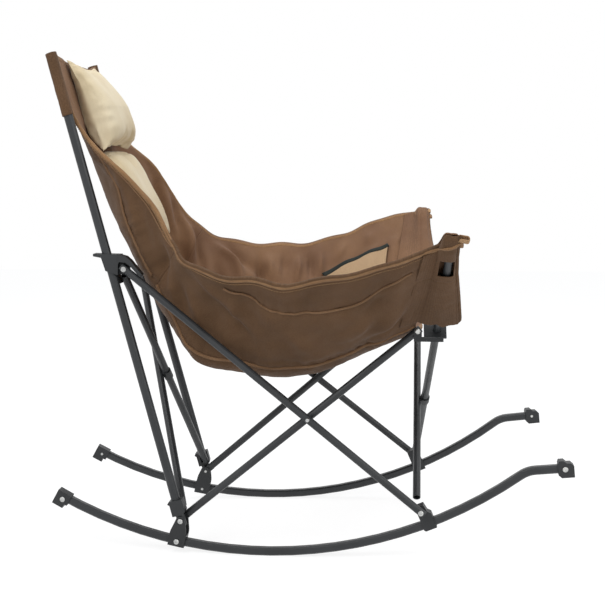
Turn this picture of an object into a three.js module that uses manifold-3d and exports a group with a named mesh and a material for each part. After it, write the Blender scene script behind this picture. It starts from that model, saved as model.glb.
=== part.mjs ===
// A folding padded rocking chair: a quad frame of round steel tubes on two curved rocker rails,
// with a quilted bucket sling, a head pillow and a lumbar pad.
// Millimetres, +X forward, +Y to the sitter's left, +Z up, the floor at z = 0.
import * as THREE from "three";
import { mergeVertices } from "three/addons/utils/BufferGeometryUtils.js";
import Module from "manifold-3d";

const wasm = await Module();
wasm.setup();

const degree = Math.PI / 180;
const gap = 0.3; // running clearance between pieces that touch
const overrun = 6; // how far a cutter passes beyond the face that it cuts

// Driving dimensions of the frame
const halfTrack = 209; // middle plane to a rear foot pivot
const toeOut = 3.08 * degree; // each side frame opens toward the front
const rearFootX = -373.8;
const rearFootHeight = 70.1;
const postLean = 14.91 * degree;
const postLength = 988;
const postDiameter = 19;
const tubeDiameter = 16;
const tubeWall = 1.2;
const tubeRadius = tubeDiameter / 2;
const postRadius = postDiameter / 2;
const tubeFacets = 16;
const sliderHeight = 540; // rear foot pivot to slider bolt, along the post
const sliderBoltAhead = 29.5; // slider bolt ahead of the post's axis
const shortTubeLength = 640; // rear foot pivot to front corner bolt
const shortTubeAngle = 65 * degree; // between the short side tube and the post

// The rocker rail: one long arc, a reverse bend and a short straight end
const rail = {
  width: 17,
  height: 17,
  wall: 1.4,
  chamfer: 3.2,
  radius: 894,
  arcCentreAhead: 168.5, // the rail's lowest point, ahead of the rear foot
  rearAngle: 28.6 * degree,
  frontAngle: 36.6 * degree,
  bendRadius: 62,
  endSlope: 5.5 * degree,
  endLength: 68,
  flatAngle: 1.3 * degree, // half of the facet that stands on the floor
  rearSteps: 9,
  frontSteps: 12,
  bendSteps: 5,
};
const frontFoot = { angle: 22.7 * degree, aboveRail: 32.3 };

const bolt = { shank: 3, head: 5.6, headHeight: 3.2, slot: 1.9, slotDepth: 1.2, facets: 12 };
const boltHole = bolt.shank + 0.5;

const colours = {
  tube: 0x3a3b3c,
  plastic: 0x1d1f20,
  zinc: 0xc9cbce,
  cloth: 0x6b5040,
  clothInside: 0x86664b,
  binding: 0x9a7350,
  beige: 0xdccdae,
  mesh: 0xb29068,
};

const material = (color, roughness, metalness) =>
  new THREE.MeshStandardMaterial({ color, roughness, metalness });
const tubePaint = material(colours.tube, 0.45, 0.6);
const plastic = material(colours.plastic, 0.6, 0);
const zinc = material(colours.zinc, 0.3, 0.9);
const cloth = material(colours.cloth, 0.9, 0);
const clothInside = material(colours.clothInside, 0.9, 0);
const bindingTape = material(colours.binding, 0.9, 0);
const beigeCloth = material(colours.beige, 0.9, 0);
const meshCloth = material(colours.mesh, 0.9, 0);

// Solids: three.js geometry in, geometry out, with the booleans in between
const weld = 1e-4;
function toSolid(geometry) {
  const bare = geometry.clone();
  for (const name of Object.keys(bare.attributes)) {
    if (name !== "position") bare.deleteAttribute(name);
  }
  const merged = mergeVertices(bare, weld);
  return new wasm.Manifold(
    new wasm.Mesh({
      numProp: 3,
      vertProperties: new Float32Array(merged.attributes.position.array),
      triVerts: new Uint32Array(merged.index.array),
    }),
  );
}

function toGeometry(solid) {
  const mesh = solid.getMesh();
  const geometry = new THREE.BufferGeometry();
  geometry.setAttribute("position", new THREE.BufferAttribute(mesh.vertProperties, 3));
  geometry.setIndex(new THREE.BufferAttribute(mesh.triVerts, 1));
  return geometry;
}

const cut = (base, ...tools) =>
  toGeometry(tools.reduce((left, tool) => left.subtract(toSolid(tool)), toSolid(base)));
const join = (first, ...rest) =>
  toGeometry(rest.reduce((whole, more) => whole.add(toSolid(more)), toSolid(first)));

// Turns a geometry made along +Y so that it runs from one point toward another
function along(geometry, from, to) {
  const direction = new THREE.Vector3().subVectors(to, from).normalize();
  const turn = new THREE.Quaternion().setFromUnitVectors(new THREE.Vector3(0, 1, 0), direction);
  return geometry.applyQuaternion(turn).translate(from.x, from.y, from.z);
}

function bar(from, to, radius, facets = tubeFacets) {
  const length = from.distanceTo(to);
  const geometry = new THREE.CylinderGeometry(radius, radius, length, facets);
  return along(geometry.translate(0, length / 2, 0), from, to);
}

function pipe(from, to, radius, wall, facets = tubeFacets) {
  const length = from.distanceTo(to);
  const inside = radius - wall;
  const profile = [
    [inside, 0],
    [radius, 0],
    [radius, length],
    [inside, length],
    [inside, 0],
  ].map(([r, y]) => new THREE.Vector2(r, y));
  return along(new THREE.LatheGeometry(profile, facets), from, to);
}

// A box from its least and greatest corners
function block([x0, y0, z0], [x1, y1, z1]) {
  const geometry = new THREE.BoxGeometry(x1 - x0, y1 - y0, z1 - z0);
  return geometry.translate((x0 + x1) / 2, (y0 + y1) / 2, (z0 + z1) / 2);
}

// An outline in the x, z plane, given thickness from y0 to y1
function slab(points, y0, y1) {
  const outline = new THREE.Shape(points.map(([x, z]) => new THREE.Vector2(x, z)));
  const geometry = new THREE.ExtrudeGeometry(outline, { depth: y1 - y0, bevelEnabled: false });
  return geometry.rotateX(Math.PI / 2).translate(0, y1, 0);
}

// Rings of points joined into one closed skin, with a flat end on the first and last ring
function loft(rings) {
  const around = rings[0].length;
  const positions = rings.flat().flatMap((p) => [p.x, p.y, p.z]);
  const faces = [];
  const at = (ring, k) => ring * around + (k % around);
  for (let ring = 0; ring + 1 < rings.length; ring++) {
    for (let k = 0; k < around; k++) {
      faces.push(at(ring, k), at(ring, k + 1), at(ring + 1, k + 1));
      faces.push(at(ring, k), at(ring + 1, k + 1), at(ring + 1, k));
    }
  }
  const last = rings.length - 1;
  for (let k = 1; k + 1 < around; k++) {
    faces.push(at(0, 0), at(0, k + 1), at(0, k));
    faces.push(at(last, 0), at(last, k), at(last, k + 1));
  }
  const geometry = new THREE.BufferGeometry();
  geometry.setAttribute("position", new THREE.Float32BufferAttribute(positions, 3));
  geometry.setIndex(faces);
  return toSolid(geometry).volume() < 0 ? flipped(geometry) : geometry;
}

function flipped(geometry) {
  const turned = geometry.clone();
  const index = [];
  for (let k = 0; k < geometry.index.count; k += 3) {
    const [a, b, c] = [0, 1, 2].map((n) => geometry.index.getX(k + n));
    index.push(a, c, b);
  }
  turned.setIndex(index);
  return turned;
}

// Each side is made as the left one: x runs forward in the side's own plane from the rear foot,
// y points outward from that plane, z up. The right side is its mirror image.
function mirrored(geometry) {
  const indexed = geometry.index ? geometry : mergeVertices(geometry, weld);
  return flipped(indexed).scale(1, -1, 1);
}

const sidePoint = (p, q, z) => new THREE.Vector3(p, q, z);

// From a side's plane to the whole chair
function chairPoint(side, { x, y, z }) {
  return new THREE.Vector3(
    rearFootX + x * Math.cos(toeOut) - y * Math.sin(toeOut),
    side.sign * (halfTrack + x * Math.sin(toeOut) + y * Math.cos(toeOut)),
    z,
  );
}

// A place given by its distance up the post, ahead of the post, and outward
function postPoint(up, ahead, outward = 0) {
  return sidePoint(
    -up * Math.sin(postLean) + ahead * Math.cos(postLean),
    outward,
    rearFootHeight + up * Math.cos(postLean) + ahead * Math.sin(postLean),
  );
}

// A place on the rail's arc, by its angle ahead of the lowest point
const arcCentre = { p: rail.arcCentreAhead, z: rail.radius + rail.height / 2 };
function arcPoint(angle, inward = 0, outward = 0) {
  const reach = rail.radius - inward;
  return sidePoint(
    arcCentre.p + reach * Math.sin(angle),
    outward,
    arcCentre.z - reach * Math.cos(angle),
  );
}

const rearFootPivot = sidePoint(0, 0, rearFootHeight);
const rearFootAngle = -Math.atan2(arcCentre.p, arcCentre.z - rearFootHeight);
const rearFootAboveRail =
  rail.radius - Math.hypot(arcCentre.p, arcCentre.z - rearFootHeight);
const frontFootPivot = arcPoint(frontFoot.angle, frontFoot.aboveRail);
const sliderPivot = postPoint(sliderHeight, sliderBoltAhead);
const cornerPivot = postPoint(
  shortTubeLength * Math.cos(shortTubeAngle),
  shortTubeLength * Math.sin(shortTubeAngle),
);

// Where the two side tubes cross, as shares of their lengths
function crossingShares() {
  const long = new THREE.Vector3().subVectors(frontFootPivot, sliderPivot);
  const short = new THREE.Vector3().subVectors(cornerPivot, rearFootPivot);
  const across = new THREE.Vector3().subVectors(rearFootPivot, sliderPivot);
  const turn = long.x * short.z - long.z * short.x;
  return {
    long: (across.x * short.z - across.z * short.x) / turn,
    short: (across.x * long.z - across.z * long.x) / turn,
  };
}
const crossing = crossingShares();

// Lateral layers: outward places of each tube's axis, so that the fold's planes pass each other
const layer = {
  longAtSlider: 9,
  longAtFoot: 20.5,
  shortAtFoot: -18.8,
  shortAtCorner: 8,
  cheek: 3.2,
};
const outerCheek = { from: postRadius + gap, to: postRadius + gap + layer.cheek };
const tongue = { thick: 5.6, reach: 15, back: 8 }; // the short tube's flattened lower end
const innerCheek = {
  from: layer.shortAtFoot - tongue.thick / 2 - gap - layer.cheek,
  to: layer.shortAtFoot - tongue.thick / 2 - gap,
};
const withLayer = (point, q) => sidePoint(point.x, q, point.z);
const blend = (a, b, share) => a + (b - a) * share;
const longAt = (share) =>
  new THREE.Vector3().lerpVectors(
    withLayer(sliderPivot, layer.longAtSlider),
    withLayer(frontFootPivot, layer.longAtFoot),
    share,
  );
const shortAt = (share) =>
  new THREE.Vector3().lerpVectors(
    withLayer(rearFootPivot, layer.shortAtFoot),
    withLayer(cornerPivot, layer.shortAtCorner),
    share,
  );
const longLength = longAt(0).distanceTo(longAt(1));
const shortLength = shortAt(0).distanceTo(shortAt(1));

// A bolt along +q with its head outside, from the inner end of its shank to under its head
function boltAt({ x, z }, from, to) {
  const top = to + bolt.headHeight;
  const profile = [
    [0, from],
    [bolt.shank, from],
    [bolt.shank, to],
    [bolt.head, to],
    [bolt.head, to + bolt.headHeight * 0.55],
    [bolt.head * 0.72, top],
    [bolt.slot, top],
    [bolt.slot, top - bolt.slotDepth],
    [0, top - bolt.slotDepth],
  ].map(([r, y]) => new THREE.Vector2(r, y));
  return new THREE.LatheGeometry(profile, bolt.facets).translate(x, 0, z);
}
const holeAt = ({ x, z }, from, to, radius = boltHole) =>
  bar(sidePoint(x, from, z), sidePoint(x, to, z), radius, bolt.facets);

// The rail's centre line as places with a direction, rear end first
function railStations() {
  const angles = [];
  for (let k = 0; k <= rail.rearSteps; k++) {
    angles.push(blend(-rail.rearAngle, -rail.flatAngle, k / rail.rearSteps));
  }
  for (let k = 0; k <= rail.frontSteps; k++) {
    angles.push(blend(rail.flatAngle, rail.frontAngle, k / rail.frontSteps));
  }
  return angles.map((angle) => {
    const place = arcPoint(angle);
    return { p: place.x, z: place.z, slope: angle };
  });
}

function fullRailStations() {
  const stations = railStations();
  let { p, z, slope } = stations.at(-1);
  for (let k = 1; k <= rail.bendSteps; k++) {
    const next = blend(rail.frontAngle, rail.endSlope, k / rail.bendSteps);
    p += rail.bendRadius * (Math.sin(slope) - Math.sin(next));
    z += rail.bendRadius * (Math.cos(next) - Math.cos(slope));
    slope = next;
    stations.push({ p, z, slope });
  }
  stations.push({
    p: p + rail.endLength * Math.cos(slope),
    z: z + rail.endLength * Math.sin(slope),
    slope,
  });
  return stations;
}

// A rectangle with cut corners, swept along stations, larger or smaller than the rail by `grow`
function railSweep(stations, grow) {
  const half = rail.width / 2 + grow;
  const rise = rail.height / 2 + grow;
  const corner = Math.max(rail.chamfer + grow * (Math.SQRT2 - 1), rail.wall / 2);
  const section = [
    [half, -rise + corner],
    [half, rise - corner],
    [half - corner, rise],
    [-half + corner, rise],
    [-half, rise - corner],
    [-half, -rise + corner],
    [-half + corner, -rise],
    [half - corner, -rise],
  ];
  return loft(
    stations.map(({ p, z, slope }) =>
      section.map(([q, up]) =>
        sidePoint(p - up * Math.sin(slope), q, z + up * Math.cos(slope)),
      ),
    ),
  );
}

// The stations pushed out beyond both ends, for a bore that opens there
function lengthened(stations, by) {
  const first = stations[0];
  const last = stations.at(-1);
  const moved = ({ p, z, slope }, d) => ({
    p: p + d * Math.cos(slope),
    z: z + d * Math.sin(slope),
    slope,
  });
  return [moved(first, -by), ...stations.slice(1, -1), moved(last, by)];
}

const railLine = fullRailStations();
const railRear = railLine[0];
const railFront = railLine.at(-1);

// A place beside a station: ahead along its slope, and up square to it
const beside = ({ p, z, slope }, ahead, up, q = 0) =>
  sidePoint(
    p + ahead * Math.cos(slope) - up * Math.sin(slope),
    q,
    z + ahead * Math.sin(slope) + up * Math.cos(slope),
  );
const outlineBeside = (station, points) =>
  points.map(([ahead, up]) => {
    const place = beside(station, ahead, up);
    return [place.x, place.z];
  });

const rearFootStation = { p: 0, z: rearFootHeight, slope: rearFootAngle };
const frontFootStation = {
  p: frontFootPivot.x,
  z: frontFootPivot.z,
  slope: frontFoot.angle,
};
const railBoltPlace = beside(rearFootStation, 0, -rearFootAboveRail);

function rockerRail() {
  const outside = railSweep(railLine, 0);
  const inside = railSweep(lengthened(railLine, overrun), -rail.wall);
  const reach = rail.width / 2 + overrun;
  return cut(
    outside,
    inside,
    holeAt(railBoltPlace, -reach, reach),
    holeAt(beside(railRear, rearCap.boltAhead, rearCap.boltUp), -reach, reach),
    holeAt(beside(railFront, -frontCap.boltBehind, 0), -reach, reach),
  );
}

// The moulded block on the rail's rear end
const rearCap = {
  length: 31,
  beyond: 7, // past the rail's end
  above: 3,
  below: 12,
  side: 3,
  tabInset: 6,
  boltAhead: 10,
  boltUp: -3,
};
function rearEndCap() {
  const top = rail.height / 2 + rearCap.above;
  const low = -rail.height / 2 - rearCap.above;
  const tab = -rail.height / 2 - rearCap.below;
  const front = rearCap.length - rearCap.beyond;
  const half = rail.width / 2 + rearCap.side;
  const outline = outlineBeside(railRear, [
    [-rearCap.beyond, tab],
    [front - rearCap.tabInset, tab],
    [front - rearCap.tabInset, low],
    [front, low],
    [front, top],
    [-rearCap.beyond, top],
  ]);
  const bore = railSweep(lengthened(railLine, gap), gap);
  const place = beside(railRear, rearCap.boltAhead, rearCap.boltUp);
  return cut(slab(outline, -half, half), bore, holeAt(place, -half - overrun, half + overrun));
}
const rearCapScrewPlace = beside(railRear, rearCap.boltAhead, rearCap.boltUp);

// The block on the rail's front end, with a stepped top
const frontCap = {
  length: 32,
  beyond: 8,
  above: 3.5,
  step: 5.5,
  stepFrom: 2,
  stepLength: 16,
  below: 9,
  side: 3.4,
  corner: 6,
  boltBehind: 10,
};
function frontEndCap() {
  const top = rail.height / 2 + frontCap.above;
  const tall = top + frontCap.step;
  const low = -rail.height / 2 - frontCap.below;
  const back = frontCap.beyond - frontCap.length;
  const half = rail.width / 2 + frontCap.side;
  const outline = outlineBeside(railFront, [
    [back + frontCap.corner, low],
    [frontCap.beyond, low],
    [frontCap.beyond, top - frontCap.corner],
    [frontCap.beyond - frontCap.corner, top],
    [back + frontCap.stepFrom + frontCap.stepLength, top],
    [back + frontCap.stepFrom + frontCap.stepLength - frontCap.step, tall],
    [back + frontCap.stepFrom, tall],
    [back, top],
    [back, low + frontCap.corner],
  ]);
  const bore = railSweep(lengthened(railLine, gap), gap);
  const place = beside(railFront, -frontCap.boltBehind, 0);
  return cut(slab(outline, -half, half), bore, holeAt(place, -half - overrun, half + overrun));
}
const frontCapScrewPlace = beside(railFront, -frontCap.boltBehind, 0);

// The rear foot bracket: two waisted cheeks on the post, closed round the rail below
const bracket = {
  topRadius: 10.5,
  topFacets: 6,
  waistHalf: 11,
  skirtHalf: 17.5,
  skirtDrop: 22,
  webTop: 5.5, // solid web above the rail's top face
  under: 2,
};
function rearFootBracket() {
  const up = rearFootAboveRail;
  const webUp = -(up - rail.height / 2 - bracket.webTop);
  const low = -(up + rail.height / 2 + bracket.under);
  const dome = [];
  for (let k = 0; k <= bracket.topFacets; k++) {
    const turn = (Math.PI * k) / bracket.topFacets;
    dome.push([bracket.topRadius * Math.cos(turn), bracket.topRadius * Math.sin(turn)]);
  }
  const cheek = outlineBeside(rearFootStation, [
    [-bracket.skirtHalf, low],
    [bracket.skirtHalf, low],
    [bracket.skirtHalf, -bracket.skirtDrop - bracket.webTop],
    [bracket.waistHalf + bracket.webTop, -bracket.skirtDrop],
    ...dome,
    [-bracket.waistHalf - bracket.webTop, -bracket.skirtDrop],
    [-bracket.skirtHalf, -bracket.skirtDrop - bracket.webTop],
  ]);
  const base = outlineBeside(rearFootStation, [
    [-bracket.skirtHalf, low],
    [bracket.skirtHalf, low],
    [bracket.skirtHalf, webUp],
    [-bracket.skirtHalf, webUp],
  ]);
  const ends = [innerCheek.from - overrun, outerCheek.to + overrun];
  return cut(
    join(
      slab(base, innerCheek.from, outerCheek.to),
      slab(cheek, outerCheek.from, outerCheek.to),
      slab(cheek, innerCheek.from, innerCheek.to),
    ),
    railSweep(railLine, gap),
    holeAt(rearFootPivot, ...ends),
    holeAt(railBoltPlace, ...ends),
  );
}

// The front foot: a saddle that slides on the rail, with a lug for the long side tube
const saddle = {
  side: 3.3,
  back: 9,
  front: 18,
  lugFront: 12,
  lugTop: 10,
  under: 3.4,
  corner: 3,
  shoulder: 9.5,
};
const saddleHalf = rail.width / 2 + gap + saddle.side;
function frontFootSaddle() {
  const top = -saddle.shoulder + gap;
  const low = -(frontFoot.aboveRail + rail.height / 2 + saddle.under);
  const outline = outlineBeside(frontFootStation, [
    [-saddle.back + saddle.corner, low],
    [saddle.front, low],
    [saddle.front, top - saddle.corner],
    [saddle.lugFront, top + saddle.corner],
    [saddle.lugFront - saddle.corner, saddle.lugTop],
    [-saddle.back + saddle.corner, saddle.lugTop],
    [-saddle.back, saddle.lugTop - saddle.corner],
    [-saddle.back, low + saddle.corner],
  ]);
  return cut(slab(outline, -saddleHalf, saddleHalf), railSweep(railLine, gap));
}

// The rear post, bored across for the foot bolt
const postFoot = 12; // the post's end below the foot bolt
function backPost() {
  const body = pipe(postPoint(-postFoot, 0), postPoint(postLength, 0), postRadius, tubeWall);
  return cut(body, holeAt(rearFootPivot, -postDiameter, postDiameter));
}

// The slider on the post: a block with a flange lip, an ear beside the long side tube,
// a hood over its end, and a tab for the rear cross tube
const slider = {
  half: 13,
  reach: 64.5, // its tail behind the slider bolt, and the unit of its outlines
  earInner: -4,
  rearTubeBelow: 18.3, // its rear cross tube's pivot below the slider bolt, along the post
  tabBelow: 9,
  tabAbove: 27,
  tabReach: 32.5,
  tabThick: 5,
  tabClear: 1,
  bodyShares: [
    [-1, 0.4806],
    [-1, 0.4],
    [-0.7442, 0.3535],
    [-0.6047, -0.0651],
    [-0.2093, -0.1953],
    [-0.1938, 0.155],
    [-0.155, 0.2171],
    [-0.124, 0.4651],
  ],
  earShares: [
    [-0.2326, -0.186],
    [0.0465, -0.1783],
    [0.1473, -0.0465],
    [0.1473, 0.093],
    [0.031, 0.2481],
    [-0.2171, 0.4031],
  ],
  hoodShares: [
    [-0.155, 0.4651],
    [0.0698, 0.4093],
    [0.2171, 0.2853],
    [0.5891, -0.1705],
    [0.5116, -0.2403],
    [0.1705, 0.1364],
    [0.0465, 0.2171],
    [-0.1705, 0.2326],
  ],
};
const rearTubeUp = sliderHeight - slider.rearTubeBelow;
const rearTubeInset = 23.5; // the rear cross tube's ends inward of the side's plane
function sliderBracket(side) {
  const around = (shares) =>
    shares.map(([x, z]) => [
      sliderPivot.x + x * slider.reach,
      sliderPivot.z + z * slider.reach,
    ]);
  const earTop = layer.longAtSlider - tubeRadius - gap;
  const hoodTop = layer.longAtSlider + tubeRadius;
  const tabFace = side.rearTubeAhead - side.rearTubeFacing * (tubeRadius + slider.tabClear);
  const tabBack = tabFace - side.rearTubeFacing * slider.tabThick;
  const tabOutline = [
    [rearTubeUp - slider.tabBelow, tabFace],
    [rearTubeUp + slider.tabAbove, tabFace],
    [rearTubeUp + slider.tabAbove, tabBack],
    [rearTubeUp - slider.tabBelow, tabBack],
  ].map(([up, ahead]) => {
    const place = postPoint(up, ahead);
    return [place.x, place.z];
  });
  return cut(
    join(
      slab(around(slider.bodyShares), -slider.half, slider.half),
      slab(around(slider.earShares), slider.earInner, earTop),
      slab(around(slider.hoodShares), slider.earInner, hoodTop),
      slab(tabOutline, -slider.tabReach, -slider.half + overrun),
    ),
    bar(postPoint(0, 0), postPoint(postLength, 0), postRadius + gap),
    holeAt(sliderPivot, slider.earInner - overrun, earTop + overrun),
  );
}

// The collar low on the post that holds the other side's rear cross tube
const collar = {
  from: 12.5,
  to: 45,
  back: 13.5,
  front: 15.2,
  half: 13,
  pivotUp: 30,
  rearTubeAhead: 6,
  tabThick: 4,
  tabFrom: 21,
  tabClear: 1.1,
  corner: 6,
  lip: 4,
};
function lowerCollar() {
  const outline = [
    [collar.from, -collar.back],
    [collar.from, collar.front - collar.corner],
    [collar.from + collar.corner, collar.front],
    [collar.to, collar.front],
    [collar.to, -collar.back],
    [collar.to - collar.lip, -collar.back - collar.lip],
    [collar.to - 2 * collar.lip, -collar.back],
  ].map(([up, ahead]) => {
    const place = postPoint(up, ahead);
    return [place.x, place.z];
  });
  const face = collar.rearTubeAhead - tubeRadius - collar.tabClear;
  const tab = [
    [collar.tabFrom, face],
    [collar.to, face],
    [collar.to, face - collar.tabThick],
    [collar.tabFrom, face - collar.tabThick],
  ].map(([up, ahead]) => {
    const place = postPoint(up, ahead);
    return [place.x, place.z];
  });
  return cut(
    join(
      slab(outline, -collar.half + gap, collar.half),
      slab(tab, -rearTubeInset - tubeRadius, -collar.half + overrun),
    ),
    bar(postPoint(-postFoot, 0), postPoint(postLength, 0), postRadius + gap),
  );
}

const tubeEnd = 9; // a side tube's end beyond the bolt in it
const cornerTubeEnd = 6; // the short tube's end beyond the corner bolt
function longSideTube() {
  const ends = tubeEnd / longLength;
  const body = pipe(longAt(-ends), longAt(1 + ends), tubeRadius, tubeWall);
  const reach = tubeDiameter;
  const rivetPlace = longAt(crossing.long);
  return cut(
    body,
    holeAt(sliderPivot, layer.longAtSlider - reach, layer.longAtSlider + reach),
    holeAt(frontFootPivot, layer.longAtFoot - reach, layer.longAtFoot + reach),
    holeAt(rivetPlace, rivetPlace.y - reach, rivetPlace.y + reach, rivet.shank + gap),
  );
}

function shortSideTube() {
  const body = pipe(
    shortAt(tongue.reach / shortLength),
    shortAt(1 + cornerTubeEnd / shortLength),
    tubeRadius,
    tubeWall,
  );
  const rise = new THREE.Vector3().subVectors(shortAt(1), shortAt(0)).setY(0);
  const flat = block(
    [-tongue.back, layer.shortAtFoot - tongue.thick / 2, -tubeRadius],
    [tongue.reach + overrun, layer.shortAtFoot + tongue.thick / 2, tubeRadius],
  )
    .rotateY(-Math.atan2(rise.z, rise.x))
    .translate(rearFootPivot.x, 0, rearFootPivot.z);
  const reach = tubeDiameter;
  return cut(
    join(body, flat),
    holeAt(rearFootPivot, layer.shortAtFoot - reach, layer.shortAtFoot + reach),
    holeAt(cornerPivot, layer.shortAtCorner - reach, layer.shortAtCorner + reach),
  );
}

// The rivet through the long tube, with its spacer against the short tube
const rivet = { shank: 2.6, head: 4.6, headHeight: 2.2, spacer: 5.2, clear: 1.6 };
function sideRivet() {
  const place = longAt(crossing.long);
  const outer = place.y + tubeRadius + gap;
  const inner = place.y - tubeRadius - gap;
  const far = shortAt(crossing.short).y + tubeRadius + rivet.clear;
  const profile = [
    [0, far],
    [rivet.spacer, far],
    [rivet.spacer, inner],
    [rivet.shank, inner],
    [rivet.shank, outer],
    [rivet.head, outer],
    [rivet.head * 0.8, outer + rivet.headHeight],
    [0, outer + rivet.headHeight],
  ].map(([r, y]) => new THREE.Vector2(r, y));
  return new THREE.LatheGeometry(profile, bolt.facets).translate(place.x, 0, place.z);
}

// The front corner: an ear outside the short tube's end, and an arm that reaches round
// the cross tube's socket to a plate in front of it
const corner = {
  ear: 8,
  earFacets: 14,
  earThick: 3.3,
  hingeDrop: 7, // the socket's pivot below the corner bolt
  armLow: -14,
  armTop: -4.6,
  plateThick: 3.4,
  plateInner: -10,
  plateTop: 10,
  socketClear: 1.1,
};
const socket = {
  radius: 10.4,
  back: 12,
  front: 14,
  flangeThick: 5,
  flangeBehind: 31,
  flangeAhead: 19,
  flangeHalf: 19,
  cornerClear: 10.4,
};
const cornerHinge = (side) =>
  sidePoint(cornerPivot.x + side.frontTubeAhead, 0, cornerPivot.z - corner.hingeDrop);
function cornerBracket(side) {
  const hinge = cornerHinge(side);
  const inner = layer.shortAtCorner + tubeRadius + gap;
  const outer = inner + corner.earThick;
  const disc = [];
  for (let k = 0; k < corner.earFacets; k++) {
    const turn = (2 * Math.PI * k) / corner.earFacets;
    disc.push([
      cornerPivot.x + corner.ear * Math.cos(turn),
      cornerPivot.z + corner.ear * Math.sin(turn),
    ]);
  }
  const plateFrom = hinge.x + socket.radius + corner.socketClear;
  const plateTo = plateFrom + corner.plateThick;
  const low = hinge.z + corner.armLow;
  return cut(
    join(
      slab(disc, inner, outer),
      block(
        [cornerPivot.x - corner.ear, inner, low],
        [cornerPivot.x + corner.ear, outer, cornerPivot.z],
      ),
      block([cornerPivot.x - corner.ear, inner, low], [plateTo, outer, hinge.z + corner.armTop]),
      block(
        [plateFrom, corner.plateInner, low],
        [plateTo, outer, hinge.z + corner.armTop],
      ),
      block(
        [plateFrom, corner.plateInner, low],
        [plateTo, -corner.plateInner - overrun, hinge.z + corner.plateTop],
      ),
    ),
    holeAt(cornerPivot, inner - overrun, outer + overrun),
  );
}

// The cross tubes run from one side to the other, in the chair's own axes
const footTube = { inset: 21.9, rise: 19 };
const armReach = 329; // cross tube beyond the front corner
function frontTubeLine(side, other) {
  const foot = chairPoint(
    other,
    sidePoint(
      frontFootPivot.x + side.footTubeAhead,
      -footTube.inset,
      frontFootPivot.z + footTube.rise,
    ),
  );
  const hinge = chairPoint(side, cornerHinge(side));
  const direction = new THREE.Vector3().subVectors(hinge, foot).normalize();
  const tip = hinge.clone().addScaledVector(direction, armReach);
  return { foot, hinge, tip, direction };
}

function armSocket(line) {
  const { hinge, direction } = line;
  const back = hinge.clone().addScaledVector(direction, -socket.back);
  const flangeTop = socket.front + socket.flangeThick;
  const front = hinge.clone().addScaledVector(direction, flangeTop);
  // the flange is a plate square to the tube, longer behind the tube than ahead of it
  const forward = new THREE.Vector3(1, 0, 0);
  const up = direction.clone();
  const lateral = new THREE.Vector3().crossVectors(up, forward).normalize();
  const ahead = new THREE.Vector3().crossVectors(lateral, up);
  const basis = new THREE.Matrix4().makeBasis(ahead, lateral, up).setPosition(hinge);
  const behind = Math.min(socket.flangeBehind, line.frontTubeAhead - socket.cornerClear);
  const flange = block(
    [-behind, -socket.flangeHalf, socket.front],
    [socket.flangeAhead, socket.flangeHalf, flangeTop],
  ).applyMatrix4(basis);
  return cut(
    join(bar(back, front, socket.radius), flange),
    bar(
      hinge.clone().addScaledVector(direction, -socket.back - overrun),
      hinge.clone().addScaledVector(direction, flangeTop + overrun),
      tubeRadius + gap,
    ),
  );
}

const rearTubeEnd = 6;
function rearTubeLine(side, other) {
  const top = chairPoint(
    side,
    postPoint(rearTubeUp, side.rearTubeAhead, -rearTubeInset),
  );
  const foot = chairPoint(
    other,
    postPoint(collar.pivotUp, collar.rearTubeAhead, -rearTubeInset),
  );
  return { top, foot };
}

function rearCrossTube({ top, foot }) {
  const direction = new THREE.Vector3().subVectors(top, foot).normalize();
  return pipe(
    foot.clone().addScaledVector(direction, -rearTubeEnd),
    top.clone().addScaledVector(direction, rearTubeEnd),
    tubeRadius,
    tubeWall,
  );
}

// A plastic clip on the leading cross tube where the two cross, open toward the other tube
const clip = { half: 11, thick: 2.4, open: 8.1 };
function crossClip(from, to, ahead) {
  const share = Math.abs(from.y) / (Math.abs(from.y) + Math.abs(to.y));
  const middle = new THREE.Vector3().lerpVectors(from, to, share);
  const direction = new THREE.Vector3().subVectors(to, from).normalize();
  const lateral = new THREE.Vector3().crossVectors(direction, ahead).normalize();
  const square = new THREE.Vector3().crossVectors(lateral, direction);
  const basis = new THREE.Matrix4().makeBasis(square, lateral, direction).setPosition(middle);
  const reach = tubeDiameter + overrun;
  const outer = tubeRadius + gap + clip.thick;
  return cut(
    pipe(
      middle.clone().addScaledVector(direction, -clip.half),
      middle.clone().addScaledVector(direction, clip.half),
      outer,
      clip.thick,
    ),
    block([-reach, -reach, -reach], [-clip.open, reach, reach]).applyMatrix4(basis),
  );
}

// Where the two sides differ: each cross tube passes before or behind the other
const sides = {
  right: {
    name: "right",
    sign: -1,
    frontTubeAhead: 36.5, // this side's corner hinge ahead of its corner bolt
    footTubeAhead: 8, // this side's cross tube ahead of the other side's front foot bolt
    rearTubeAhead: 18,
    rearTubeFacing: 1, // the tube lies ahead of its tab
  },
  left: {
    name: "left",
    sign: 1,
    frontTubeAhead: 20.8,
    footTubeAhead: -9,
    rearTubeAhead: -15,
    rearTubeFacing: -1,
  },
};

// Soft pieces

// The cloth sleeve that holds the top of a post
const sleeve = { length: 117, beyond: 10, wall: 3.4, headroom: 3 };

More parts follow.
